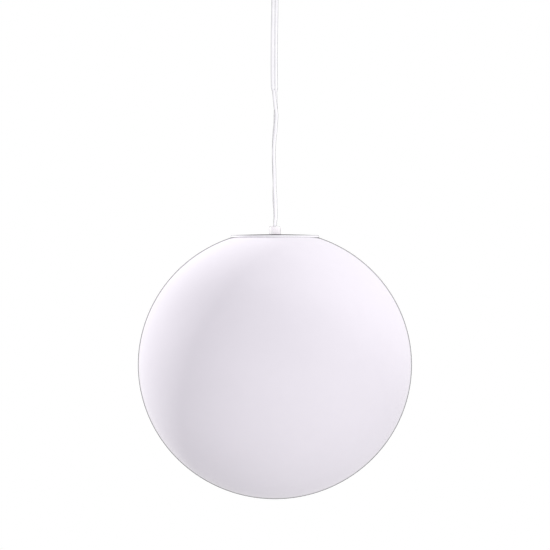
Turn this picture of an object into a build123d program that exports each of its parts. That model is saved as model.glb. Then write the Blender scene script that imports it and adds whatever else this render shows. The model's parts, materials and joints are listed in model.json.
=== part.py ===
"""Globe pendant light for a garden or porch: a white opal globe hung on a flat twin flex.

Millimetres, +Z up. The origin is the middle of the ceiling face; everything hangs below it.
The ceiling end is fixed. Below its bell mouth the lamp swings and turns on the flex, the
globe pulls down off its spring clips, and the bulb unscrews from its holder.
"""

from build123d import *
from math import acos, cos, radians, sin, sqrt
import os

# ---------------------------------------------------------------- fits and gaps
moving_gap = 0.3          # between pieces of different bodies
running_gap = 0.2         # round what slides through a hole
screw_gap = 0.1           # between a screw's plain shank and its hole
cut_margin = 1.0          # how far a cutting shape runs past the face it cuts

# ---------------------------------------------------------------- the flex
flex_width = 7.4          # across both lobes
flex_thick = 3.7          # across one lobe
flex_groove = 0.85        # depth of the groove between the lobes
flex_free_length = 257.2  # from the swing neck to the lamp's nipple
twist_start = 97.0        # below the top end, where the flex turns from face-on
twist_length = 24.0
twist_turn = 90.0         # degrees, face-on to edge-on
twist_steps = 9
core_radius = 1.65        # one insulated core, past the point where the lobes part
flex_tail_reach = 3.0     # of the fixed flex above its grip's neck

# ---------------------------------------------------------------- ceiling plate
plate_thick = 2.0
plate_width = 44.0
plate_length = 56.0
plate_corner = 8.0
strap_width = 14.0
ceiling_hole_spacing = 60.0
ceiling_slot_width = 5.2
ceiling_slot_length = 12.0
supply_hole_radius = 6.5
supply_hole_offset = 11.0
ear_length = 16.0
ear_bend = 2.0
ear_clearance = 0.8       # between an ear and the canopy's wall

# ---------------------------------------------------------------- canopy
canopy_radius = 50.0
canopy_height = 28.0
canopy_wall = 2.0
canopy_corner = 10.0
canopy_gasket_thick = 2.0
canopy_screw_drop = 9.0   # below the canopy's rim
canopy_screw_radius = 1.9
canopy_screw_length = 9.0
screw_head_radius = 3.6
screw_head_height = 2.3

# ---------------------------------------------------------------- ceiling cord grip
neck_radius = 8.0         # the threaded neck through the canopy
neck_length = 11.0
flange_radius = 13.5
flange_thick = 3.0
nose_length = 20.5        # below the canopy, flange included
nose_radius = 11.6
nose_taper = 0.8          # how much wider the nose is under its flange
throat_drop = 6.0         # below the canopy, where the bell mouth starts
throat_radius = 4.2
mouth_radius = 9.6
nut_flats = 22.0
nut_thick = 4.0
clamp_screw_radius = 1.3
clamp_head_radius = 2.2
clamp_head_height = 1.6

# ---------------------------------------------------------------- swing neck
stub_drop = 4.0           # how far the fixed flex reaches below the canopy
neck_reach = 4.0          # each neck piece, from its pivot to its lower end

# ---------------------------------------------------------------- terminal block
block_length = 20.0
block_depth = 16.0
block_height = 12.0
block_offset = -13.0
pole_spacing = 10.0
insert_radius = 2.2
insert_bore = 1.4
insert_inset = 1.0        # each end of the brass insert inside the block
terminal_screw_radius = 1.25
terminal_screw_spacing = 8.0
terminal_screw_inset = 1.0
block_corner = 1.5
block_well_depth = 4.0    # of the well for the fixing screw's head
block_screw_radius = 1.4
block_screw_head = 2.8
block_screw_head_thick = 2.0
block_screw_inset = 0.2   # of the screw's tip below the ceiling
core_lead = 3.0           # straight run of a core as it leaves the flex
core_bend = 3.0

# ---------------------------------------------------------------- lamp's cord grip
grip_radius = 6.25
grip_height = 8.9
grip_slot_height = 4.2
grip_round = 1.4
grub_radius = 1.25
grub_inset = 0.1          # of the grub screw below the grip's surface

# ---------------------------------------------------------------- cap
cap_height = 3.2          # at the middle, down to the rim's lower edge
cap_rise = 1.1            # of the dome over the rim's top edge
cap_edge_round = 0.9
cap_relief = 0.3          # inner underside over the rim's lower edge
cap_gasket_thick = 1.0
cap_gasket_inset = 0.6    # of the gasket's inner edge from the globe's opening
cap_gasket_width = 2.4

# ---------------------------------------------------------------- nipple and its hardware
nipple_radius = 4.8
nipple_wall = 1.2
washer_radius = 8.5
washer_thick = 0.8
locknut_flats = 14.0
locknut_thick = 3.0

# ---------------------------------------------------------------- globe
globe_radius = 150.0      # at the equator
globe_half_height = 147.06
globe_wall = 3.0
globe_flat_radius = 48.2  # where the globe is cut off flat
globe_lip_width = 5.2     # turned in round the opening
globe_lip_thick = 3.0

# ---------------------------------------------------------------- spring clips
clip_count = 3
clip_width = 8.0
clip_thick = 0.7
clip_foot_length = 13.5   # under the cap, in from the arm
clip_shoulder = 1.2       # across the corner between foot and arm
clip_arm_inset = 1.5      # the arm's middle inside the lip
clip_seat = 0.4           # between the lip's underside and the bulge's start
clip_catch = 2.6          # how far the bulge stands out from the arm
clip_tail = 6.6
clip_bend = 0.9
rivet_inset = 8.5         # in from the arm
rivet_radius = 1.5
rivet_head_radius = 2.7
rivet_head_thick = 1.0
rivet_grip = 1.6          # how far the rivet reaches into the cap

# ---------------------------------------------------------------- lampholder
holder_neck_radius = 8.5
holder_neck_height = 8.0
holder_shoulder_height = 12.0
holder_shoulder_bulge = 2.9
holder_cap_height = 31.5
holder_wall = 2.0
holder_crown_wall = 3.5   # over the hollow, at the neck
holder_body_height = 32.0
holder_mouth_wall = 3.9
holder_taper = 1.3        # how much wider the body is at its top
holder_mouth_round = 1.2
holder_spigot_height = 6.0
holder_spigot_wall = 2.1
thread_clearance = 0.5    # between the bulb's shell and the socket's
contact_wall = 0.6
contact_shoulder = 3.0    # how far the socket's shell turns in at its top
contact_height = 22.0
contact_inset = 2.5       # the contact's lower edge over the holder's mouth
insert_thick = 9.0
leaf_width = 7.0
leaf_length = 16.0
leaf_thick = 0.6
leaf_bump_radius = 3.0
leaf_bump_height = 1.2
holder_rivet_radius = 1.5
holder_rivet_head = 0.6
insert_round = 0.8
holder_terminal_circle = 6.9
holder_screw_head_radius = 2.6
holder_screw_head_height = 2.0
holder_screw_radius = 1.5
holder_screw_length = 5.0
holder_screw_slot = 0.8
core_gap = 0.25           # between a core's end and its terminal screw's head
lamp_core_drop = 4.5      # from the nipple's mouth to where the cores bend out
lamp_core_slope = 0.7     # drop of the slanted run over its reach
lamp_core_bend = 5.0

# ---------------------------------------------------------------- bulb
bulb_radius = 30.0
bulb_length = 110.0
bulb_shell_radius = 13.1
bulb_shell_wall = 0.5
bulb_shell_length = 19.8
bulb_tip_radius = 4.5
bulb_tip_height = 1.0
insulator_top_radius = 5.2
insulator_height = 3.9
insulator_base = 1.0
shell_lap = 0.8           # of the screw shell over the insulator's base
bulb_housing_length = 37.4
bulb_collar = 1.1         # how far the housing stands out under the shell
bulb_housing_curve = 1.0  # how far its flare curves in
bulb_housing_wall = 1.6
housing_throat = 2.0      # height over which the hollow opens out of the neck
bulb_glass_wall = 1.2
led_board_rim = 2.3       # of the housing round the board
led_board_thick = 1.6
led_board_inset = 0.4     # of the board's face inside the housing's edge
led_board_ledge = 3.5     # width and height of the ledge behind the board
led_count = 10
led_circle = 14.0
led_size = 3.0
led_height = 0.7
driver_board_length = 34.0
driver_board_thick = 1.6
driver_board_inset = 0.2  # below the top of the housing's neck
driver_part_drop = 8.0    # below the shell's edge
capacitor_radius = 4.0
capacitor_height = 8.0
coil_radius = 4.6
coil_height = 6.0

# ---------------------------------------------------------------- sizes that follow from these
flex_half = flex_width / 2
lobe_centre = flex_half - flex_thick / 2
nipple_bore = nipple_radius - nipple_wall
globe_lip_inner = globe_flat_radius - globe_lip_width
cap_radius = globe_flat_radius
cap_gasket_inner = globe_lip_inner + cap_gasket_inset
cap_gasket_outer = cap_gasket_inner + cap_gasket_width
clip_arm_radius = globe_lip_inner - clip_arm_inset
clip_foot_radius = clip_arm_radius - clip_foot_length
rivet_circle = clip_arm_radius - rivet_inset
socket_radius = bulb_shell_radius + thread_clearance + contact_wall + screw_gap
holder_mouth_radius = socket_radius + holder_mouth_wall
holder_radius = holder_mouth_radius + holder_taper
spigot_radius = holder_radius - holder_wall - running_gap
insert_seat_radius = spigot_radius - holder_spigot_wall
core_terminal_circle = holder_terminal_circle + holder_screw_head_radius + core_gap + core_radius
bulb_neck_radius = bulb_shell_radius - bulb_shell_wall - screw_gap
bulb_neck_bore = bulb_neck_radius - bulb_housing_wall

# ---------------------------------------------------------------- the stack, from the ceiling down
block_end_z = -plate_thick - block_height
block_bore_z = -plate_thick - block_height / 2
canopy_rim_z = -canopy_gasket_thick
canopy_floor_z = canopy_rim_z - canopy_height
canopy_screw_z = canopy_rim_z - canopy_screw_drop
grip_neck_top_z = canopy_floor_z + neck_length
nut_top_z = canopy_floor_z + canopy_wall + nut_thick
clamp_screw_z = (nut_top_z + grip_neck_top_z) / 2
throat_z = canopy_floor_z - throat_drop
nose_end_z = canopy_floor_z - nose_length
flex_tail_top_z = grip_neck_top_z + flex_tail_reach
stub_end_z = canopy_floor_z - stub_drop
swing_x_z = stub_end_z - moving_gap - flex_half
upper_neck_end_z = swing_x_z - neck_reach
swing_y_z = upper_neck_end_z - moving_gap - flex_half
lower_neck_end_z = swing_y_z - neck_reach
cord_top_z = lower_neck_end_z - moving_gap
cord_end_z = cord_top_z - flex_free_length
nipple_top_z = cord_end_z - moving_gap
grip_socket_z = nipple_top_z + running_gap
grip_top_z = cord_end_z + grip_slot_height
grub_z = (grip_socket_z + grip_top_z) / 2
cap_top_z = grip_top_z - grip_height
cap_seat_z = cap_top_z - cap_height
cap_under_z = cap_seat_z + cap_relief
lip_top_z = cap_seat_z - moving_gap
lip_under_z = lip_top_z - globe_lip_thick
globe_centre_z = lip_top_z - globe_half_height * sqrt(1 - (globe_flat_radius / globe_radius)**2)
clip_foot_z = cap_under_z - clip_thick / 2
clip_bulge_z = lip_under_z + clip_seat
nut_end_z = cap_under_z - washer_thick - locknut_thick
holder_shoulder_z = nut_end_z - holder_neck_height
holder_rim_z = holder_shoulder_z - holder_shoulder_height
holder_cap_end_z = nut_end_z - holder_cap_height
spigot_top_z = holder_cap_end_z + holder_spigot_height
holder_end_z = holder_cap_end_z - holder_body_height
contact_end_z = holder_end_z + contact_inset
contact_top_z = contact_end_z + contact_height
insert_end_z = contact_top_z + contact_wall
insert_top_z = insert_end_z + insert_thick
leaf_end_z = insert_end_z - leaf_thick
bump_end_z = leaf_end_z - leaf_bump_height
bulb_top_z = bump_end_z - moving_gap
tip_end_z = bulb_top_z - bulb_tip_height
insulator_top_z = tip_end_z - moving_gap
insulator_end_z = insulator_top_z - insulator_height
shell_end_z = insulator_end_z - bulb_shell_length
housing_end_z = shell_end_z - bulb_housing_length
bulb_centre_z = bulb_top_z - bulb_length + bulb_radius
bulb_housing_end = sqrt(bulb_radius**2 - (housing_end_z - bulb_centre_z)**2)
led_board_radius = bulb_housing_end - led_board_rim
led_board_low_z = housing_end_z + led_board_inset
led_board_top_z = led_board_low_z + led_board_thick
driver_part_z = shell_end_z - driver_part_drop


# ---------------------------------------------------------------- shapes used by many pieces
def rod(radius, low, high, x=0.0, y=0.0):
    """An upright cylinder between two heights."""
    return Pos(x, y, low) * extrude(Circle(radius), high - low)


def ring(outer, inner, low, high):
    """An upright tube between two heights."""
    return Pos(0, 0, low) * extrude(Circle(outer) - Circle(inner), high - low)


def turned(*corners):
    """A solid of revolution about Z from (radius, height) corners."""
    outline = Polyline(*[(radius, 0, height) for radius, height in corners], close=True)
    return revolve(make_face(outline), Axis.Z)


def lathe(*edges):
    """A solid of revolution about Z from edges drawn as (radius, height)."""
    return revolve(Plane.XZ * make_face(Wire(edges)), Axis.Z)


def side_rod(radius, start, stop, z, axis="x", at=0.0):
    """A level cylinder along X or Y, from start to stop."""
    blank = extrude(Circle(radius), stop - start)
    if axis == "x":
        return Pos(start, at, z) * Rot(0, 90, 0) * blank
    return Pos(at, start, z) * Rot(-90, 0, 0) * blank


def hex_nut(flats, bore, low, high):
    """A hexagon nut with its upper and lower corners turned off."""
    blank = Pos(0, 0, low) * extrude(RegularPolygon(flats / 2, 6, major_radius=False), high - low)
    corner = flats / sqrt(3)
    chamfer_size = (corner - flats / 2) * 0.6
    envelope = turned(
        (bore, low), (corner - chamfer_size, low), (corner, low + chamfer_size),
        (corner, high - chamfer_size), (corner - chamfer_size, high), (bore, high),
    )
    return blank & envelope


def around(piece, count):
    """Copies of a piece, evenly spaced about Z."""
    return [Rot(0, 0, 360 * index / count) * piece for index in range(count)]


def rings_at(piece, height):
    """The full circles of a turned piece at one height."""
    return [edge for edge in piece.edges()
            if edge.is_closed and abs(edge.center().Z - height) < 0.01]


def save(node, *pieces):
    """Write one node: one solid, or a group of separate ones."""
    solids = [solid for piece in pieces for solid in piece.solids()]
    shape = solids[0] if len(solids) == 1 else Compound(children=solids)
    export_step(shape, f"parts/{node}.step")


# ---------------------------------------------------------------- the flex
def flex_section(turn=0.0):
    """Section of the flat twin flex: two round lobes, three arcs each, and the web between."""
    lobe = flex_thick / 2
    web = lobe - flex_groove
    notch_turn = acos(-sqrt(lobe**2 - web**2) / lobe)

    def on_lobe(angle):
        return lobe_centre + lobe * cos(angle), lobe * sin(angle)

    stops = [notch_turn, radians(45), radians(-45), -notch_turn]
    right = [ThreePointArc(on_lobe(start), on_lobe((start + stop) / 2), on_lobe(stop))
             for start, stop in zip(stops, stops[1:])]
    notch_x, notch_y = on_lobe(-notch_turn)
    half = right + [Line((notch_x, notch_y), (-notch_x, notch_y))]
    outline = Wire(half + [Rot(0, 0, 180) * edge for edge in half])
    return Rot(0, 0, turn) * make_face(outline)


def straight_flex(low, high, turn=0.0):
    return Pos(0, 0, low) * extrude(flex_section(turn), high - low)


def flex_slot(low, high, turn=0.0):
    """The hole that a clamp leaves for the flex."""
    slot = SlotOverall(flex_width + 2 * running_gap, flex_thick + 2 * running_gap)
    return Pos(0, 0, low) * extrude(Rot(0, 0, turn) * slot, high - low)


def hanging_flex():
    """The free flex: face-on, a quarter turn, then edge-on down to the lamp."""
    stations = [(0.0, 0.0)]
    for step in range(twist_steps + 1):
        share = step / twist_steps
        stations.append((twist_start + twist_length * share, twist_turn * share))
    stations.append((flex_free_length, twist_turn))
    sections = [Pos(0, 0, cord_top_z - drop) * flex_section(turn) for drop, turn in stations]
    cord = loft(sections, ruled=True)
    print(f"cord: straight, {flex_free_length:.1f} mm long, volume / (section x length) = "
          f"{cord.volume / (flex_section().area * flex_free_length):.4f}")
    return cord


def neck_piece(pivot_z, end_z):
    """A short length of flex whose upper end is rounded about its pivot."""
    envelope = Pos(0, 0, pivot_z) * Sphere(flex_half) + rod(flex_half, end_z, pivot_z)
    return straight_flex(end_z, pivot_z + flex_half) & envelope


def core(points, bend):
    """One insulated core along straight runs and tangent arcs."""
    path = FilletPolyline(*points, radius=bend)
    start = Plane(origin=path @ 0, z_dir=path % 0)
    return sweep(start * Circle(core_radius), path=path)


# ---------------------------------------------------------------- ceiling end
def ceiling_bracket():
    """Steel plate with slots for the ceiling screws and an ear at each end for the canopy."""
    ear_face = canopy_radius - canopy_wall - ear_clearance
    plate = Pos(0, 0, -plate_thick) * extrude(
        RectangleRounded(plate_length, plate_width, plate_corner), plate_thick)
    strap = Pos(0, 0, -plate_thick / 2) * Box(2 * ear_face, strap_width, plate_thick)
    bracket = plate + strap
    for side in (-1, 1):
        middle = side * (ear_face - plate_thick / 2)
        bracket += Pos(middle, 0, -ear_length / 2) * Box(plate_thick, strap_width, ear_length)
    bends = bracket.edges().filter_by(Axis.Y).group_by(Axis.Z)[-1]
    bends = [edge for edge in bends if abs(abs(edge.center().X) - ear_face) < plate_thick / 4]
    bracket = fillet(bends, ear_bend)
    hole = screw_gap + canopy_screw_radius
    bracket -= side_rod(hole, -canopy_radius, canopy_radius, canopy_screw_z)
    for side in (-1, 1):
        slot = Pos(side * ceiling_hole_spacing / 2, 0, -2 * plate_thick) * extrude(
            SlotOverall(ceiling_slot_length, ceiling_slot_width), 3 * plate_thick)
        bracket -= slot
    bracket -= rod(supply_hole_radius, -2 * plate_thick, plate_thick, y=supply_hole_offset)
    bracket -= rod(block_screw_radius + screw_gap, -2 * plate_thick, plate_thick, y=block_offset)
    return bracket


def ceiling_canopy():
    """Shallow turned cup, open at the ceiling, with a rounded lower edge."""
    outer = rod(canopy_radius, canopy_floor_z, canopy_rim_z)
    outer = fillet(outer.edges().sort_by(Axis.Z)[0], canopy_corner)
    inner = rod(canopy_radius - canopy_wall, canopy_floor_z + canopy_wall, canopy_rim_z + canopy_wall)
    inner = fillet(inner.edges().sort_by(Axis.Z)[0], canopy_corner - canopy_wall)
    cup = outer - inner
    cup -= rod(neck_radius + running_gap, canopy_floor_z - canopy_wall, canopy_floor_z + 2 * canopy_wall)
    hole = canopy_screw_radius + running_gap
    reach = canopy_radius + canopy_wall
    return cup - side_rod(hole, -reach, reach, canopy_screw_z)


def canopy_screws():
    """Pan-head screws through the canopy's side into the bracket's ears."""
    shank = side_rod(canopy_screw_radius, canopy_radius - canopy_screw_length, canopy_radius,
                     canopy_screw_z)
    head = side_rod(screw_head_radius, canopy_radius, canopy_radius + screw_head_height, canopy_screw_z)
    head = fillet(head.edges().sort_by(Axis.X)[-1], screw_head_height / 2)
    slot = Pos(canopy_radius + screw_head_height, 0, canopy_screw_z) * Box(
        screw_head_height, 2 * screw_head_radius, screw_head_radius / 4)
    return around(shank + head - slot, 2)


def canopy_cord_grip():
    """Bell-mouthed grip: a clamping slot above, a flared throat that the flex bends against."""
    body = turned(
        (0, grip_neck_top_z), (neck_radius, grip_neck_top_z), (neck_radius, canopy_floor_z),
        (flange_radius, canopy_floor_z), (flange_radius, canopy_floor_z - flange_thick),
        (nose_radius + nose_taper, canopy_floor_z - flange_thick), (nose_radius, nose_end_z),
        (0, nose_end_z),
    )
    body = fillet(rings_at(body, nose_end_z), (nose_radius - mouth_radius) * 0.45)
    body -= lathe(
        Line((0, stub_end_z), (throat_radius, stub_end_z)),
        Line((throat_radius, stub_end_z), (throat_radius, throat_z)),
        TangentArc((throat_radius, throat_z), (mouth_radius, nose_end_z), tangent=(0, -1)),
        Line((mouth_radius, nose_end_z), (0, nose_end_z)),
        Line((0, nose_end_z), (0, stub_end_z)),
    )
    body -= flex_slot(stub_end_z - cut_margin, grip_neck_top_z + cut_margin)
    return body - side_rod(clamp_screw_radius + screw_gap, 0, 2 * neck_radius, clamp_screw_z, "y")


def canopy_grip_screw():
    """Side screw that presses the flex against the neck."""
    tip = flex_thick / 2 + screw_gap
    seat = neck_radius + screw_gap
    shank = side_rod(clamp_screw_radius, tip, seat, clamp_screw_z, "y")
    return shank + side_rod(clamp_head_radius, seat, seat + clamp_head_height, clamp_screw_z, "y")


def terminal_block():
    """Two-pole block with a through bore for each pole and screw wells from below."""
    block = Pos(0, block_offset, block_bore_z) * Box(block_length, block_depth, block_height)
    block = fillet(block.edges().filter_by(Axis.Z), block_corner)
    low = block_end_z - cut_margin
    for side in (-1, 1):
        x = side * pole_spacing / 2
        block -= side_rod(insert_radius, block_offset - block_depth, block_offset + block_depth,
                          block_bore_z, "y", x)
        for step in (-1, 1):
            y = block_offset + step * terminal_screw_spacing / 2
            block -= rod(terminal_screw_radius + screw_gap, low, block_bore_z, x, y)
    block -= rod(block_screw_head + running_gap, low, block_end_z + block_well_depth, y=block_offset)
    return block - rod(block_screw_radius + screw_gap, low, 0, y=block_offset)


def terminal_inserts():
    """Brass sleeve in each bore of the block."""
    start = block_offset - block_depth / 2 + insert_inset
    stop = block_offset + block_depth / 2 - insert_inset
    pieces = []
    for side in (-1, 1):
        x = side * pole_spacing / 2
        sleeve = side_rod(insert_radius, start, stop, block_bore_z, "y", x)
        sleeve -= side_rod(insert_bore, start - cut_margin, stop + cut_margin, block_bore_z, "y", x)
        for step in (-1, 1):
            y = block_offset + step * terminal_screw_spacing / 2
            sleeve -= rod(terminal_screw_radius + screw_gap, block_bore_z - 2 * insert_radius,
                          block_bore_z, x, y)
        pieces.append(sleeve)
    return pieces


def terminal_screws():
    """Four clamping screws, two for each pole, driven from below."""
    low = block_end_z + terminal_screw_inset
    top = block_bore_z - insert_bore / 2
    return [rod(terminal_screw_radius, low, top, x * pole_spacing / 2,
                block_offset + y * terminal_screw_spacing / 2) for x in (-1, 1) for y in (-1, 1)]


def terminal_block_screw():
    """Screw up through the middle of the block into the plate."""
    seat = block_end_z + block_well_depth
    head = rod(block_screw_head, seat - block_screw_head_thick, seat, y=block_offset)
    return head + rod(block_screw_radius, seat, -block_screw_inset, y=block_offset)


def ceiling_flex_cores():
    """The two cores from the parted flex to the terminal block."""
    face_y = block_offset + block_depth / 2
    cores = []
    for side in (-1, 1):
        points = [(side * lobe_centre, 0, flex_tail_top_z),
                  (side * lobe_centre, 0, flex_tail_top_z + core_lead),
                  (side * pole_spacing / 2, core_bend / 2, block_bore_z),
                  (side * pole_spacing / 2, face_y, block_bore_z)]
        cores.append(core(points, core_bend))
    return cores


# ---------------------------------------------------------------- lamp end
def cord_grip():
    """Small round grip that screws down on the nipple, with a slot for the flex."""
    body = rod(grip_radius, cap_top_z, grip_top_z)
    body = fillet(body.edges().sort_by(Axis.Z)[-1], grip_round)
    body -= rod(nipple_radius + screw_gap, cap_top_z - cut_margin, grip_socket_z)
    body -= flex_slot(grip_socket_z - cut_margin, grip_top_z + cut_margin, twist_turn)
    return body - side_rod(grub_radius + screw_gap, 0, 2 * grip_radius, grub_z)


def grip_clamp_screw():
    """Headless screw, just below the grip's surface, that presses the flex's flat side."""
    tip = flex_thick / 2 + screw_gap
    end = sqrt(grip_radius**2 - grub_radius**2) - grub_inset
    screw = side_rod(grub_radius, tip, end, grub_z)
    return screw - Pos(end, 0, grub_z) * Box(grub_radius, 3 * grub_radius, grub_radius / 2.5)


def globe_cap():
    """Thin disc with a low dome, a rim that meets the globe and a groove for its gasket."""
    rim_top = cap_top_z - cap_rise
    cap = lathe(
        Line((0, cap_seat_z), (0, cap_top_z)),
        TangentArc((0, cap_top_z), (cap_radius, rim_top), tangent=(1, 0)),
        Line((cap_radius, rim_top), (cap_radius, cap_seat_z)),
        Line((cap_radius, cap_seat_z), (0, cap_seat_z)),
    )
    cap = fillet(rings_at(cap, rim_top), cap_edge_round)
    low = cap_seat_z - cut_margin
    cap -= rod(cap_gasket_inner, low, cap_under_z)
    cap -= ring(cap_gasket_outer, cap_gasket_inner - cut_margin, low, cap_seat_z + cap_gasket_thick)
    cap -= rod(nipple_radius + running_gap, low, cap_top_z + cut_margin)
    for hole in around(rod(rivet_radius, low, cap_under_z + rivet_grip, rivet_circle), clip_count):
        cap -= hole
    return cap


def threaded_nipple():
    """Threaded tube that ties the grip, the cap and the lampholder together."""
    return ring(nipple_radius, nipple_bore, holder_shoulder_z, nipple_top_z)


def spring_clips():
    """Sprung steel clips under the cap, whose bulge catches under the globe's lip."""
    arm = clip_arm_radius
    line = [
        (clip_foot_radius, clip_foot_z), (arm - clip_shoulder, clip_foot_z),
        (arm, clip_foot_z - clip_shoulder), (arm, clip_bulge_z),
        (arm + clip_catch, clip_bulge_z - clip_catch),
        (arm - clip_thick, clip_bulge_z - clip_catch - clip_tail),
    ]
    path = FilletPolyline(*[(r, 0, z) for r, z in line], radius=clip_bend)
    start = Plane(origin=path @ 0, x_dir=(0, 1, 0), z_dir=path % 0)
    clip = sweep(start * Rectangle(clip_width, clip_thick), path=path)
    clip -= rod(rivet_radius, clip_foot_z - clip_thick, clip_foot_z + clip_thick, rivet_circle)
    return around(clip, clip_count)


def clip_rivets():
    """Drive rivets that hold the clips to the cap."""
    head_top = cap_under_z - clip_thick
    rivet = rod(rivet_radius, head_top, cap_under_z + rivet_grip, rivet_circle)
    head = rod(rivet_head_radius, head_top - rivet_head_thick, head_top, rivet_circle)
    head = fillet(head.edges().sort_by(Axis.Z)[0], rivet_head_thick / 2)
    return around(rivet + head, clip_count)


def lampholder_cap():
    """Domed upper half of the holder, screwed up the nipple."""
    cap = lathe(
        Line((0, holder_cap_end_z), (0, nut_end_z)),
        Line((0, nut_end_z), (holder_neck_radius, nut_end_z)),
        Line((holder_neck_radius, nut_end_z), (holder_neck_radius, holder_shoulder_z)),
        SagittaArc((holder_neck_radius, holder_shoulder_z), (holder_radius, holder_rim_z),
                   holder_shoulder_bulge),
        Line((holder_radius, holder_rim_z), (holder_radius, holder_cap_end_z)),
        Line((holder_radius, holder_cap_end_z), (0, holder_cap_end_z)),
    )
    inner = holder_radius - holder_wall
    crown = holder_shoulder_z - holder_crown_wall
    low = holder_cap_end_z - cut_margin
    cap -= turned((0, low), (inner, low), (inner, holder_rim_z), (nipple_radius + holder_wall, crown),
                  (0, crown))
    return cap - rod(nipple_radius + screw_gap, low, nut_end_z + cut_margin)


def lampholder_body():
    """Lower half of the holder: a spigot up into the cap, and the bulb's socket."""
    body = turned(
        (0, holder_end_z), (holder_mouth_radius, holder_end_z), (holder_radius, holder_cap_end_z),
        (spigot_radius, holder_cap_end_z), (spigot_radius, spigot_top_z), (0, spigot_top_z),
    )
    body = fillet(body.edges().group_by(Axis.Z)[0], holder_mouth_round)
    body -= rod(socket_radius, holder_end_z - cut_margin, insert_end_z)
    return body - rod(insert_seat_radius, insert_end_z, spigot_top_z + cut_margin)


def lampholder_insert():
    """Ceramic disc that carries the contacts and the terminal screws."""
    insert = rod(insert_seat_radius - screw_gap, insert_end_z, insert_top_z)
    insert = fillet(insert.edges().group_by(Axis.Z)[-1], insert_round)
    top = insert_top_z + cut_margin
    insert -= rod(holder_rivet_radius, insert_end_z - cut_margin, top)
    for y in (-holder_terminal_circle, holder_terminal_circle):
        insert -= rod(holder_screw_radius, insert_top_z - holder_screw_length, top, 0, y)
    return insert


def lampholder_shell_contact():
    """Brass screw shell of the socket, as a plain sleeve with an inward shoulder."""
    outer = socket_radius - screw_gap
    sleeve = ring(outer, outer - contact_wall, contact_end_z, contact_top_z)
    return sleeve + ring(outer, outer - contact_shoulder, contact_top_z, contact_top_z + contact_wall)


def lampholder_centre_contact():
    """Brass leaf with a pressed bump, riveted through the insert."""
    leaf = Pos(0, 0, insert_end_z - leaf_thick / 2) * Box(leaf_width, leaf_length, leaf_thick)
    leaf = fillet(leaf.edges().filter_by(Axis.Z), leaf_width / 4)
    bump = Pos(0, 0, bump_end_z) * extrude(Circle(leaf_bump_radius), leaf_bump_height)
    bump = fillet(bump.edges().sort_by(Axis.Z)[0], leaf_bump_height / 2)
    return leaf + bump + rod(holder_rivet_radius, insert_end_z, insert_top_z + holder_rivet_head)


def lampholder_terminal_screws():
    """Two screws on the insert that hold the bared cores."""
    y = holder_terminal_circle
    top = insert_top_z + holder_screw_head_height
    screw = rod(holder_screw_radius, insert_top_z - holder_screw_length, insert_top_z, 0, y)
    head = rod(holder_screw_head_radius, insert_top_z, top, 0, y)
    slot = Pos(0, y, top) * Box(holder_screw_slot, 3 * holder_screw_head_radius, holder_screw_head_height)
    return around(screw + head - slot, 2)


def lamp_flex_cores():
    """The two cores from the grip, through the nipple, to the holder's terminals."""
    bend_z = holder_shoulder_z - lamp_core_drop
    middle = nipple_bore - core_radius - screw_gap
    spread = core_terminal_circle - middle
    cores = []
    for side in (-1, 1):
        points = [(0, side * middle, cord_end_z), (0, side * middle, bend_z),
                  (0, side * core_terminal_circle, bend_z - spread * lamp_core_slope),
                  (0, side * core_terminal_circle, insert_top_z)]
        cores.append(core(points, lamp_core_bend))
    return cores


# ---------------------------------------------------------------- bulb
def bulb_tip_contact():
    tip = rod(bulb_tip_radius, tip_end_z, bulb_top_z)
    return fillet(tip.edges().sort_by(Axis.Z)[-1], bulb_tip_height * 0.6)


def bulb_insulator():
    """Dark glass cone between the tip and the screw shell."""
    return turned(
        (0, insulator_end_z), (bulb_neck_radius, insulator_end_z),
        (bulb_neck_radius, insulator_end_z + insulator_base),
        (insulator_top_radius, insulator_top_z), (0, insulator_top_z),
    )


def bulb_screw_shell():
    """Screw shell of the bulb, as a plain sleeve; its thread is left to the finish."""
    inner = bulb_shell_radius - bulb_shell_wall
    return ring(bulb_shell_radius, inner, shell_end_z, insulator_end_z + shell_lap)


def bulb_housing():
    """Plastic body: a neck up into the shell, and a flare down to the diffuser."""
    collar = bulb_shell_radius + bulb_collar
    body = lathe(
        Line((0, housing_end_z), (0, insulator_end_z)),
        Line((0, insulator_end_z), (bulb_neck_radius, insulator_end_z)),
        Line((bulb_neck_radius, insulator_end_z), (bulb_neck_radius, shell_end_z)),
        Line((bulb_neck_radius, shell_end_z), (collar, shell_end_z)),
        SagittaArc((collar, shell_end_z), (bulb_housing_end, housing_end_z), -bulb_housing_curve),
        Line((bulb_housing_end, housing_end_z), (0, housing_end_z)),
    )
    ledge_radius = led_board_radius - led_board_ledge
    body -= turned(
        (0, led_board_low_z), (ledge_radius, led_board_low_z),
        (ledge_radius, led_board_top_z + led_board_ledge),
        (collar - bulb_housing_wall, shell_end_z - housing_throat), (bulb_neck_bore, shell_end_z),
        (bulb_neck_bore, insulator_end_z + cut_margin), (0, insulator_end_z + cut_margin),
    )
    return body - rod(led_board_radius + screw_gap, housing_end_z - cut_margin, led_board_top_z)


def bulb_led_board():
    """Aluminium disc under the housing."""
    return rod(led_board_radius, led_board_low_z, led_board_top_z)


def bulb_led_chips():
    """Light-emitting packages in a ring on the board."""
    chip = Pos(led_circle, 0, led_board_low_z - led_height / 2) * Box(led_size, led_size, led_height)
    return around(chip, led_count)


def bulb_driver_board():
    """Upright board that fits across the housing's neck."""
    width = 2 * sqrt((bulb_neck_bore - screw_gap)**2 - (driver_board_thick / 2)**2)
    middle_z = insulator_end_z - driver_board_inset - driver_board_length / 2
    return Pos(0, 0, middle_z) * Box(width, driver_board_thick, driver_board_length)


def bulb_driver_parts():
    """A capacitor and a coil standing on the driver board."""
    face = driver_board_thick / 2
    capacitor = side_rod(capacitor_radius, face, face + capacitor_height, driver_part_z, "y")
    coil = side_rod(coil_radius, -face - coil_height, -face, driver_part_z, "y")
    return [capacitor, coil]


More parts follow.
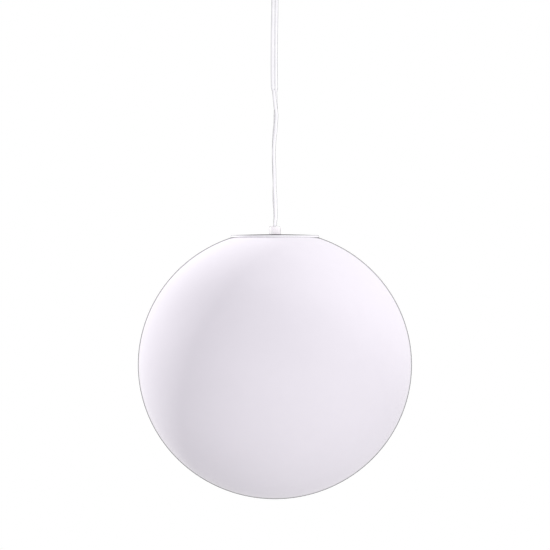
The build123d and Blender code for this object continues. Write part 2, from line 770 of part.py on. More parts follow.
def bulb_diffuser():
    """Frosted dome, whose edge stands against the housing."""
    centre = Pos(0, 0, bulb_centre_z)
    dome = centre * (Sphere(bulb_radius) - Sphere(bulb_radius - bulb_glass_wall))
    return dome & rod(bulb_radius + cut_margin, bulb_centre_z - bulb_radius - cut_margin, housing_end_z)


# ---------------------------------------------------------------- globe
def cut_ball(radius, half_height, cut_z):
    """A slightly flattened ball about the globe's centre, cut off flat at one height."""
    below = Pos(0, cut_z) * Rectangle(2 * radius, 3 * half_height, align=(Align.MIN, Align.MAX))
    outline = (Pos(0, globe_centre_z) * Ellipse(radius, half_height)) & below
    return revolve(Plane.XZ * outline, Axis.Z)


def globe():
    """Hollow opal globe, cut off flat at the top, with a lip turned in round its opening."""
    hollow = cut_ball(globe_radius - globe_wall, globe_half_height - globe_wall, lip_under_z)
    mouth = rod(globe_lip_inner, lip_under_z - cut_margin, lip_top_z + cut_margin)
    return cut_ball(globe_radius, globe_half_height, lip_top_z) - hollow - mouth


# ---------------------------------------------------------------- write the parts
os.makedirs("parts", exist_ok=True)

# ceiling end, fixed
save("ceiling_bracket", ceiling_bracket())
save("ceiling_gasket", ring(canopy_radius, canopy_radius - canopy_wall, canopy_rim_z, 0))
save("ceiling_canopy", ceiling_canopy())
save("canopy_screws", *canopy_screws())
save("canopy_cord_grip", canopy_cord_grip())
save("canopy_grip_nut", hex_nut(nut_flats, neck_radius + screw_gap, nut_top_z - nut_thick, nut_top_z))
save("canopy_grip_screw", canopy_grip_screw())
save("terminal_block", terminal_block())
save("terminal_inserts", *terminal_inserts())
save("terminal_screws", *terminal_screws())
save("terminal_block_screw", terminal_block_screw())
save("ceiling_flex_tail", straight_flex(stub_end_z, flex_tail_top_z))
save("ceiling_flex_cores", *ceiling_flex_cores())

# the flex where it bends
save("flex_neck_upper", neck_piece(swing_x_z, upper_neck_end_z))
save("flex_neck_lower", neck_piece(swing_y_z, lower_neck_end_z))

# lamp end
save("cord", hanging_flex())
save("cord_grip", cord_grip())
save("grip_clamp_screw", grip_clamp_screw())
save("globe_cap", globe_cap())
save("cap_gasket", ring(cap_gasket_outer, cap_gasket_inner, cap_seat_z, cap_seat_z + cap_gasket_thick))
save("threaded_nipple", threaded_nipple())
save("nipple_washer", ring(washer_radius, nipple_radius + running_gap, cap_under_z - washer_thick,
                           cap_under_z))
save("nipple_locknut", hex_nut(locknut_flats, nipple_radius + screw_gap, nut_end_z,
                               nut_end_z + locknut_thick))
save("spring_clips", *spring_clips())
save("clip_rivets", *clip_rivets())
save("lampholder_cap", lampholder_cap())
save("lampholder_body", lampholder_body())
save("lampholder_insert", lampholder_insert())
save("lampholder_shell_contact", lampholder_shell_contact())
save("lampholder_centre_contact", lampholder_centre_contact())
save("lampholder_terminal_screws", *lampholder_terminal_screws())
save("lamp_flex_cores", *lamp_flex_cores())

# bulb
save("bulb_tip_contact", bulb_tip_contact())
save("bulb_insulator", bulb_insulator())
save("bulb_screw_shell", bulb_screw_shell())
save("bulb_housing", bulb_housing())
save("bulb_driver_board", bulb_driver_board())
save("bulb_driver_parts", *bulb_driver_parts())
save("bulb_led_board", bulb_led_board())
save("bulb_led_chips", *bulb_led_chips())
save("bulb_diffuser", bulb_diffuser())

# globe
save("globe", globe())

print(f"swing about X at z = {swing_x_z:.2f}, about Y at z = {swing_y_z:.2f}, cord top {cord_top_z:.2f}")
print(f"cord end {cord_end_z:.2f}, grip top {grip_top_z:.2f}, cap top {cap_top_z:.2f}")
print(f"lip top {lip_top_z:.2f}, holder end {holder_end_z:.2f}, bulb top {bulb_top_z:.2f}")
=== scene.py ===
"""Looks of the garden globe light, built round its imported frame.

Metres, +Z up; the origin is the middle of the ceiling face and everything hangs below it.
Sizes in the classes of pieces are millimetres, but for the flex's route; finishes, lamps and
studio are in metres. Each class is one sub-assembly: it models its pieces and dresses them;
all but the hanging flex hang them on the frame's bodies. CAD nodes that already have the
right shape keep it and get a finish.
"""

import json
import logging
import math
from dataclasses import dataclass, field
from enum import Enum
from typing import Callable, Sequence, Union

import bmesh
import bpy
from mathutils import Matrix, Vector

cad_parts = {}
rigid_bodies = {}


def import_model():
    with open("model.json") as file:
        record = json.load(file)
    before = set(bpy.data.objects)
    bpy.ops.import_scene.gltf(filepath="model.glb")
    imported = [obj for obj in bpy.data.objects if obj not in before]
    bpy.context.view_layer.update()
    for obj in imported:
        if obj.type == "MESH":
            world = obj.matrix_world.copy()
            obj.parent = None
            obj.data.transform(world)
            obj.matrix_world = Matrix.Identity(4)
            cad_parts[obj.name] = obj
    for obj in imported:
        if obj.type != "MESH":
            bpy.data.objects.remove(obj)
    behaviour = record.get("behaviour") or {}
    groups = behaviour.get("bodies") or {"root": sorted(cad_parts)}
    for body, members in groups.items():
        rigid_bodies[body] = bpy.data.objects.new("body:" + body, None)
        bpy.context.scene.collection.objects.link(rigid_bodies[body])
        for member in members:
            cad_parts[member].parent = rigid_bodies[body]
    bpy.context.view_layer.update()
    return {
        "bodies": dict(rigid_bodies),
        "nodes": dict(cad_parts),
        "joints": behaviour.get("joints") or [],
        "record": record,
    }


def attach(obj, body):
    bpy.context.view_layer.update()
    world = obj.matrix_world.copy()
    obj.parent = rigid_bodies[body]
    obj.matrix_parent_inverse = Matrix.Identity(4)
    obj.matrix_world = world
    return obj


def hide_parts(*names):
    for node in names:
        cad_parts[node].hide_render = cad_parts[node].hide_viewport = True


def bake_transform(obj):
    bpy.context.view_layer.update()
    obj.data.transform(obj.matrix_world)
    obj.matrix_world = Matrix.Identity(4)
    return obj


log = logging.getLogger("globe_light")

MM = 0.001
NEAR = 1e-6          # metres: places closer than this count as one
WELD = 2e-6          # metres: vertices closer than this are merged
CORE_RADIUS = 1.65   # of an insulated core, millimetres
Colour = tuple[float, float, float]
Triple = tuple[float, float, float]
Pair = tuple[float, float]
Outline = Sequence[Pair]
Piece = bpy.types.Object
Socket = bpy.types.NodeSocket


class Body(str, Enum):
    """The frame's bodies that pieces ride on."""

    CEILING = "ceiling"
    NECK_UPPER = "neck_upper"
    NECK_LOWER = "neck_lower"
    LAMP = "lamp"
    GLOBE = "globe"
    BULB_TRAVEL = "bulb_travel"
    BULB = "bulb"


# ---------------------------------------------------------------- shader graphs
Number = Union["Value", float]


def operator(operation: str, reflected: bool = False) -> Callable[["Value", Number], "Value"]:
    """Make one of Value's operators.

    Args:
        operation: the Math node's operation.
        reflected: whether the other term comes first.

    Returns:
        The method, which adds the node.
    """
    def apply(self: "Value", other: Number) -> "Value":
        """Add the Math node."""
        return self.maths(operation, *((other, self) if reflected else (self, other)))

    return apply


class Value:
    """A number read from a node, so that shader maths is written as plain expressions."""

    __add__, __radd__ = operator("ADD"), operator("ADD", True)
    __sub__, __rsub__ = operator("SUBTRACT"), operator("SUBTRACT", True)
    __mul__, __rmul__ = operator("MULTIPLY"), operator("MULTIPLY", True)
    __pow__ = operator("POWER")

    def __init__(self, graph: "Graph", socket: Socket) -> None:
        """Wrap one socket of a graph."""
        self.graph = graph
        self.socket = socket

    def maths(self, operation: str, *terms: Number) -> "Value":
        """Add one Math node.

        Args:
            operation: the Math node's operation.
            terms: its inputs, in order.

        Returns:
            The node's result.
        """
        made = self.graph.node("ShaderNodeMath", {"operation": operation}, dict(enumerate(terms)))
        return Value(self.graph, made.outputs[0])

    def sine(self) -> "Value":
        """Sine of an angle in radians."""
        return self.maths("SINE", self)

    def step(self, low: float, high: float) -> "Value":
        """Smooth step.

        Args:
            low: where the result starts to leave 0.
            high: where it reaches 1; it may be below low.

        Returns:
            The step, from 0 to 1.
        """
        rising = low < high
        settings = {"interpolation_type": "SMOOTHSTEP"}
        ends = (low, high) if rising else (high, low)
        made = self.graph.node("ShaderNodeMapRange", settings,
                               {"Value": self, "From Min": ends[0], "From Max": ends[1]})
        result = Value(self.graph, made.outputs["Result"])
        return result if rising else 1 - result


class Graph:
    """The node graph of a material or of the world."""

    def __init__(self, tree: bpy.types.NodeTree) -> None:
        """Start from an empty tree."""
        self.tree = tree
        tree.nodes.clear()

    def node(self, kind: str, settings: dict[str, object] | None = None,
             inputs: dict[str | int, object] | None = None) -> bpy.types.Node:
        """Add a node.

        Args:
            kind: the node's type.
            settings: its own settings, set before its sockets.
            inputs: values or links of its sockets, by name or number.

        Returns:
            The node.
        """
        made = self.tree.nodes.new(kind)
        for name, value in (settings or {}).items():
            setattr(made, name, value)
        for socket, value in (inputs or {}).items():
            self.feed(made.inputs[socket], value)
        return made

    def feed(self, socket: Socket, value: object) -> None:
        """Link a socket to a value's node, or set its own number.

        Args:
            socket: the socket.
            value: a value, a socket, or the socket's own number or colour.
        """
        if isinstance(value, Value):
            value = value.socket
        if isinstance(value, Socket):
            self.tree.links.new(value, socket)
        else:
            socket.default_value = value

    def mix(self, factor: Number, first: object, second: object) -> Socket:
        """Mix two colours.

        Args:
            factor: 0 gives the first and 1 the second.
            first: a colour or its socket.
            second: a colour or its socket.

        Returns:
            The mixed colour's socket.
        """
        made = self.node("ShaderNodeMix", {"data_type": "RGBA"}, {0: factor, 6: first, 7: second})
        return made.outputs[2]

    def blend(self, factor: Number, first: bpy.types.Node, second: bpy.types.Node
              ) -> bpy.types.Node:
        """Mix two shaders' nodes; 0 gives the first and 1 the second."""
        return self.node("ShaderNodeMixShader", inputs={
            0: factor, 1: first.outputs[0], 2: second.outputs[0]})

    def seen(self) -> Value:
        """1 for the rays that show the white surroundings: camera, glossy and transmission.

        Returns:
            1 for those rays and 0 for the others.
        """
        path = self.node("ShaderNodeLightPath").outputs
        camera, glossy, through = (Value(self, path[f"Is {kind} Ray"])
                                   for kind in ("Camera", "Glossy", "Transmission"))
        rays = camera + glossy + through
        return rays.maths("MINIMUM", rays, 1.0)


class MaterialGraph(Graph):
    """The graph of one material: a Principled shader and the pattern nodes that feed it."""

    def __init__(self, name: str) -> None:
        """Make the material, its shader and its object coordinates.

        Args:
            name: the material's name.
        """
        self.material = bpy.data.materials.new(name)
        self.material.use_nodes = True
        super().__init__(self.material.node_tree)
        self.shader = self.node("ShaderNodeBsdfPrincipled")
        self.output = self.node("ShaderNodeOutputMaterial")
        self.surface(self.shader.outputs["BSDF"])
        self.place = self.node("ShaderNodeTexCoord").outputs["Object"]
        split = self.node("ShaderNodeSeparateXYZ", inputs={0: self.place})
        self.x, self.y, self.z = (Value(self, split.outputs[i]) for i in range(3))

    def surface(self, shader: Socket) -> None:
        """Show this shader on the surface."""
        self.feed(self.output.inputs["Surface"], shader)

    def radius(self) -> Value:
        """Distance from the light's upright axis, in metres."""
        return (self.x * self.x + self.y * self.y) ** 0.5

    def noise(self, scale: float, stretch: Triple = (1.0, 1.0, 1.0), detail: float = 2.0,
              shift: float = 0.0) -> Value:
        """Soft noise on the object's own coordinates.

        Args:
            scale: cells per metre.
            stretch: how much finer it is along each axis.
            detail: how many finer layers it has.
            shift: offset, so that two noises differ.

        Returns:
            The noise, round 0.5.
        """
        mapped = self.node("ShaderNodeMapping", inputs={
            "Vector": self.place, "Location": (shift, 2 * shift, -shift), "Scale": stretch})
        made = self.node("ShaderNodeTexNoise", inputs={
            "Vector": mapped.outputs[0], "Scale": scale, "Detail": detail})
        return Value(self, made.outputs[0])

    def bump(self, height: Value, depth: float, under: Socket | None = None) -> Socket:
        """Bump from a height pattern.

        Args:
            height: the pattern, from 0 to 1.
            depth: its height in metres.
            under: a normal that it goes on top of.

        Returns:
            The bumped normal's socket.
        """
        inputs: dict[str | int, object] = {"Height": height, "Distance": depth, "Strength": 1.0}
        if under is not None:
            inputs["Normal"] = under
        return self.node("ShaderNodeBump", inputs=inputs).outputs[0]

    def dress(self, **sockets: object) -> None:
        """Set or link the shader's own sockets, named with underscores for spaces.

        Args:
            sockets: the value or link of each.
        """
        for name, value in sockets.items():
            title = name.replace("_", " ").title().replace("Ior", "IOR")
            self.feed(self.shader.inputs[title], value)


def linear(colour: Colour) -> tuple[float, float, float, float]:
    """A colour as seen on a screen, as the shaders take it."""
    return (*(c / 12.92 if c <= 0.04045 else ((c + 0.055) / 1.055) ** 2.4 for c in colour), 1.0)


# ---------------------------------------------------------------- finishes
@dataclass(frozen=True)
class Finish:
    """A moulded or coated surface: two near tones in soft patches over a fine grain."""

    name: str
    slot: str
    colour: Colour
    tone: Colour
    patches: float = 45.0        # per metre
    roughness: float = 0.4
    roughness_spread: float = 0.08
    grain: float = 1400.0        # per metre
    depth: float = 0.00002       # of the grain, metres
    stretch: Triple = (1.0, 1.0, 1.0)
    metallic: float = 0.0
    coat: float = 0.0
    coat_roughness: float = 0.1
    coat_ior: float = 1.5
    subsurface: float = 0.0
    specular: float = 0.5

    def material(self) -> bpy.types.Material:
        """The finish's material, made on first use.

        Returns:
            The material, dressed.
        """
        name = f"finish_{self.name}"
        known = bpy.data.materials.get(name)
        if known is not None:
            return known
        graph = MaterialGraph(name)
        self.paint(graph)
        return graph.material

    def paint(self, graph: MaterialGraph) -> None:
        """Lay the finish on a fresh material.

        Args:
            graph: the material's graph.
        """
        graph.dress(metallic=self.metallic, coat_weight=self.coat,
                    coat_roughness=self.coat_roughness, coat_ior=self.coat_ior,
                    specular_ior_level=self.specular)
        if self.subsurface:
            graph.dress(subsurface_weight=self.subsurface, subsurface_scale=1.0,
                        subsurface_radius=(0.004, 0.0035, 0.004))
        graph.dress(base_color=self.tint(graph), roughness=self.gloss(graph),
                    normal=self.relief(graph))

    def tint(self, graph: MaterialGraph) -> Socket:
        """The colour over the surface."""
        patch = graph.noise(self.patches, self.stretch, 3.0)
        return graph.mix(patch.step(0.35, 0.65), linear(self.colour), linear(self.tone))

    def gloss(self, graph: MaterialGraph) -> Value:
        """The roughness over the surface."""
        smear = graph.noise(self.patches * 2.7, self.stretch, 2.0, 3.1)
        return (smear - 0.5) * (2 * self.roughness_spread) + self.roughness

    def relief(self, graph: MaterialGraph) -> Socket:
        """The fine grain's normal."""
        return graph.bump(graph.noise(self.grain, self.stretch, 3.0, 1.7), self.depth)


@dataclass(frozen=True)
class Enamel(Finish):
    """Stove enamel: a soft orange-peel surface with a clear gloss over it."""

    peel: float = 260.0
    peel_depth: float = 0.00004

    def relief(self, graph: MaterialGraph) -> Socket:
        """Orange peel under the fine grain."""
        under = graph.bump(graph.noise(self.peel, detail=1.0, shift=0.7), self.peel_depth)
        return graph.bump(graph.noise(self.grain, shift=1.7), self.depth, under)


@dataclass(frozen=True)
class Plated(Finish):
    """Plated metal: drawn streaks under faint clouds of tarnish, duller in both."""

    tarnish: Colour = (0.5, 0.5, 0.5)
    tarnish_share: float = 0.35

    def clouds(self, graph: MaterialGraph) -> Value:
        """Where the plating is tarnished."""
        return graph.noise(self.patches, detail=4.0, shift=5.3).step(0.5, 0.72)

    def streaks(self, graph: MaterialGraph) -> Value:
        """Streaks along the way that the metal was drawn."""
        return graph.noise(self.grain * 0.4, self.stretch, 4.0)

    def tint(self, graph: MaterialGraph) -> Socket:
        """Streaked plating with tarnish in clouds.

        Args:
            graph: the material's graph.

        Returns:
            The colour's socket.
        """
        plate = graph.mix(self.streaks(graph).step(0.3, 0.7), linear(self.colour),
                          linear(self.tone))
        return graph.mix(self.clouds(graph) * self.tarnish_share, plate, linear(self.tarnish))

    def gloss(self, graph: MaterialGraph) -> Value:
        """Duller in the tarnish and along the streaks."""
        spread = (self.streaks(graph) - 0.5) * (2 * self.roughness_spread)
        return self.clouds(graph) * 0.12 + spread + self.roughness


@dataclass(frozen=True)
class Threaded(Plated):
    """Plated metal with a fine screw thread."""

    pitch: float = 0.001
    thread_depth: float = 0.0003

    def relief(self, graph: MaterialGraph) -> Socket:
        """Thread rings under the plating's grain.

        Args:
            graph: the material's graph.

        Returns:
            The normal's socket.
        """
        rings = (graph.z * (2 * math.pi / self.pitch)).sine() * 0.5 + 0.5
        under = graph.bump(rings, self.thread_depth)
        return graph.bump(graph.noise(self.grain, self.stretch, 3.0, 1.7), self.depth, under)


@dataclass(frozen=True)
class EdgeShaded(Finish):
    """Plastic with painted shade at its outline: a dark gloss mixed in more as the surface turns
    away from view.
    """

    # Painted shade: this dark grey is mixed in where the surface turns away from view, darkening
    # the outline.
    edge_shade: Colour = (0.26, 0.26, 0.27)
    edge_shade_roughness: float = 0.2      # its roughness
    # where the painted outline shade starts and where it is full, in Layer Weight's facing
    edge_shade_low: float = 0.86
    edge_shade_high: float = 0.97

    def paint(self, graph: MaterialGraph) -> None:
        """Lay the finish, with painted shade mixed in at its outline.

        Args:
            graph: the material's graph.
        """
        super().paint(graph)
        # Painted shade: a dark gloss mixed in by how far the surface turns away from view.
        facing = graph.node("ShaderNodeLayerWeight", inputs={"Blend": 0.5}).outputs["Facing"]
        edge = Value(graph, facing).step(self.edge_shade_low, self.edge_shade_high)
        gloss = graph.node("ShaderNodeBsdfGlossy", inputs={
            "Color": linear(self.edge_shade), "Roughness": self.edge_shade_roughness})
        graph.surface(graph.blend(edge, graph.shader, gloss).outputs[0])


@dataclass(frozen=True)
class ShadeLined(EdgeShaded):
    """Moulded plastic with a fine painted shade line along its top edge."""

    edge_radius: Pair = (0.0472, 0.0475)
    edge_height: Pair = (-0.31375, -0.3135)
    # painted shade: the dark grey of the line along the top edge
    line_shade_colour: Colour = (0.2, 0.2, 0.21)

    def tint(self, graph: MaterialGraph) -> Socket:
        """Plain tones, with a fine painted shade line along the top edge, a little uneven.

        Args:
            graph: the material's graph.

        Returns:
            The colour's socket.
        """
        # painted shade: a thin dark ring on the top edge's rounding
        edge = graph.radius().step(*self.edge_radius) * graph.z.step(*self.edge_height)
        uneven = graph.noise(160.0, detail=3.0, shift=4.4).step(0.2, 0.6) * 0.2 + 0.75
        return graph.mix(edge * uneven, super().tint(graph), linear(self.line_shade_colour))


@dataclass(frozen=True)
class Opal(EdgeShaded):
    """Satin opal plastic: faint clouds in the white, a fine matt tooth, painted shade at its
    outline.
    """

    def tint(self, graph: MaterialGraph) -> Socket:
        """Broad faint clouds with finer ones in them.

        Args:
            graph: the material's graph.

        Returns:
            The colour's socket.
        """
        broad = graph.noise(self.patches, detail=2.0)
        fine = graph.noise(self.patches * 6, detail=3.0, shift=2.3)
        return graph.mix((broad * 0.7 + fine * 0.3).step(0.3, 0.7),
                         linear(self.colour), linear(self.tone))


@dataclass(frozen=True)
class Flex(EdgeShaded):
    """Soft flex sheath: faint draw lines along it, with painted shade towards its edges."""

    def relief(self, graph: MaterialGraph) -> Socket:
        """Draw lines that run along the flex, and soft waves where it was wound.

        Args:
            graph: the material's graph.

        Returns:
            The normal's socket.
        """
        lines = graph.noise(self.grain, (1.0, 1.0, 0.05), 2.0)
        waves = graph.noise(90.0, (1.0, 1.0, 1.0), 1.0, 0.4)
        return graph.bump(lines, self.depth, graph.bump(waves, 0.00025))


@dataclass(frozen=True)
class Laminate(Finish):
    """Circuit board: woven glass under lacquer, with tinned pads in rows."""

    pad: Colour = (0.78, 0.78, 0.76)
    pad_pitch: float = 0.0034

    def tint(self, graph: MaterialGraph) -> Socket:
        """Lacquer over weave, with pads.

        Args:
            graph: the material's graph.

        Returns:
            The colour's socket.
        """
        weave = ((graph.x * 9000.0).sine() * (graph.z * 9000.0).sine()) * 0.5 + 0.5
        board = graph.mix(weave, linear(self.colour), linear(self.tone))
        turn = 2 * math.pi / self.pad_pitch
        spots = ((graph.x * turn).sine() * (graph.z * turn).sine()).step(0.8, 0.86)
        return graph.mix(spots, board, linear(self.pad))


class Finishes:
    """Every finish of the light, by the frame's material slots."""

    enamel = Enamel("stove_enamel", "white_enamel", (0.925, 0.925, 0.925), (0.915, 0.915, 0.918),
                    roughness=0.34, coat=0.35, coat_roughness=0.12)
    zinc = Plated("zinc_plating", "zinc_plate", (0.72, 0.73, 0.74), (0.62, 0.64, 0.67),
                  roughness=0.36, grain=900.0, stretch=(1.0, 8.0, 1.0), metallic=1.0,
                  tarnish=(0.58, 0.57, 0.53))
    silicone = Finish("pale_silicone", "gasket_rubber", (0.95, 0.95, 0.945), (0.93, 0.93, 0.925),
                      roughness=0.5, subsurface=0.2)
    rubber = Finish("pale_rubber", "gasket_rubber", (0.80, 0.80, 0.79), (0.76, 0.76, 0.755),
                    roughness=0.78, grain=2200.0, depth=0.00005)
    nylon = Finish("white_nylon", "white_nylon", (0.915, 0.915, 0.905), (0.90, 0.90, 0.888),
                   roughness=0.42, grain=1100.0, depth=0.00003, subsurface=0.15)
    # painted outline shade in dark grey, over a broad band
    milky = EdgeShaded("milky_plastic", "milky_plastic", (0.998, 0.985, 0.99), (0.975, 0.95, 0.96),
                    patches=420.0, roughness=0.3, coat=0.6, coat_roughness=0.08, coat_ior=1.3,
                    subsurface=0.2, edge_shade=(0.26, 0.25, 0.26), edge_shade_low=0.55,
                    edge_shade_high=0.96)
    # painted shade in darker grey over most of each lobe's flanks
    flex = Flex("flex_sheath", "flex_pvc", (0.99, 0.985, 0.99), (0.975, 0.97, 0.975),
                patches=70.0, roughness=0.38, grain=4200.0, depth=0.00002, coat=1.0,
                coat_roughness=0.1, coat_ior=1.2, edge_shade=(0.15, 0.15, 0.16), edge_shade_low=0.3,
                edge_shade_high=0.8)
    block = Finish("terminal_plastic", "block_plastic", (0.88, 0.87, 0.83), (0.86, 0.85, 0.80),
                   roughness=0.4, subsurface=0.1)
    brass = Plated("turned_brass", "brass", (0.80, 0.63, 0.33), (0.74, 0.57, 0.30),
                   roughness=0.3, grain=1500.0, stretch=(1.0, 6.0, 1.0), metallic=1.0,
                   tarnish=(0.45, 0.33, 0.18))
    nylon_screw = Finish("nylon_screw", "nylon_screw", (0.90, 0.90, 0.89), (0.885, 0.885, 0.87),
                         roughness=0.45)
    # painted shade line along its top edge, and painted outline shade
    cap = ShadeLined("cap_plastic", "cap_plastic", (0.985, 0.98, 0.985), (0.975, 0.97, 0.977),
                 patches=25.0, roughness=0.4, grain=900.0, depth=0.000015, specular=0.2)
    spring = Plated("spring_steel", "spring_steel", (0.56, 0.57, 0.59), (0.48, 0.49, 0.52),
                    roughness=0.3, grain=1400.0, stretch=(1.0, 1.0, 0.1), metallic=1.0,
                    tarnish=(0.36, 0.34, 0.33))
    holder = Finish("holder_plastic", "holder_plastic", (0.90, 0.90, 0.885), (0.89, 0.888, 0.87),
                    roughness=0.26, coat=0.4, coat_roughness=0.06)
    ceramic = Finish("steatite", "steatite", (0.88, 0.86, 0.80), (0.84, 0.815, 0.75),
                     patches=260.0, roughness=0.6, grain=1700.0, depth=0.00006)
    nickel = Plated("nickel_plating", "nickel_plate", (0.78, 0.76, 0.72), (0.70, 0.68, 0.64),
                    patches=120.0, roughness=0.24, grain=1200.0, stretch=(1.0, 1.0, 6.0),
                    metallic=1.0, tarnish=(0.50, 0.46, 0.40))
    thread = Threaded("threaded_zinc", "zinc_plate", (0.72, 0.73, 0.74), (0.60, 0.62, 0.65),
                      roughness=0.34, grain=1400.0, metallic=1.0)
    solder = Finish("solder_drop", "solder", (0.64, 0.64, 0.64), (0.54, 0.54, 0.55),
                    patches=600.0, roughness=0.38, metallic=1.0, grain=3000.0, depth=0.00004)
    glass = Finish("dark_insulator", "dark_glass", (0.05, 0.05, 0.06), (0.08, 0.075, 0.085),
                   patches=500.0, roughness=0.14, coat=0.6, coat_roughness=0.05)
    shade = Finish("bulb_housing", "bulb_plastic", (0.915, 0.915, 0.905), (0.905, 0.905, 0.893),
                   roughness=0.38, grain=1300.0, depth=0.00003, coat=0.15)
    # painted outline shade, in the default dark grey
    frosted = Opal("frosted_dome", "frosted_plastic", (0.93, 0.93, 0.925), (0.92, 0.92, 0.913),
                   roughness=0.5, grain=2600.0, depth=0.00003, subsurface=0.4)
    board = Finish("white_solder_mask", "board_metal", (0.87, 0.88, 0.885), (0.84, 0.85, 0.86),
                   patches=160.0, roughness=0.45, metallic=0.1)
    phosphor = Finish("phosphor", "phosphor", (0.93, 0.80, 0.30), (0.90, 0.74, 0.24),
                      patches=900.0, roughness=0.55)
    laminate = Laminate("driver_laminate", "board_laminate", (0.16, 0.36, 0.22),
                        (0.13, 0.31, 0.19), roughness=0.35)
    black = Finish("part_sleeve", "part_black", (0.06, 0.06, 0.07), (0.10, 0.10, 0.11),
                   roughness=0.42)
    # painted outline shade, in the default dark grey
    opal = Opal("opal_plastic", "opal_plastic", (0.915, 0.897, 0.920), (0.907, 0.889, 0.912),
                patches=14.0, roughness=0.5, roughness_spread=0.05, grain=1500.0,
                depth=0.00001, coat=1.0, coat_roughness=0.04, coat_ior=1.04,
                specular=0.2)


# ---------------------------------------------------------------- the bench
def linked(name: str, data: bpy.types.ID) -> Piece:
    """A new object of the scene, with this data.

    Args:
        name: the object's name.
        data: its mesh, light or camera.

    Returns:
        The object.
    """
    made = bpy.data.objects.new(name, data)
    bpy.context.scene.collection.objects.link(made)
    return made


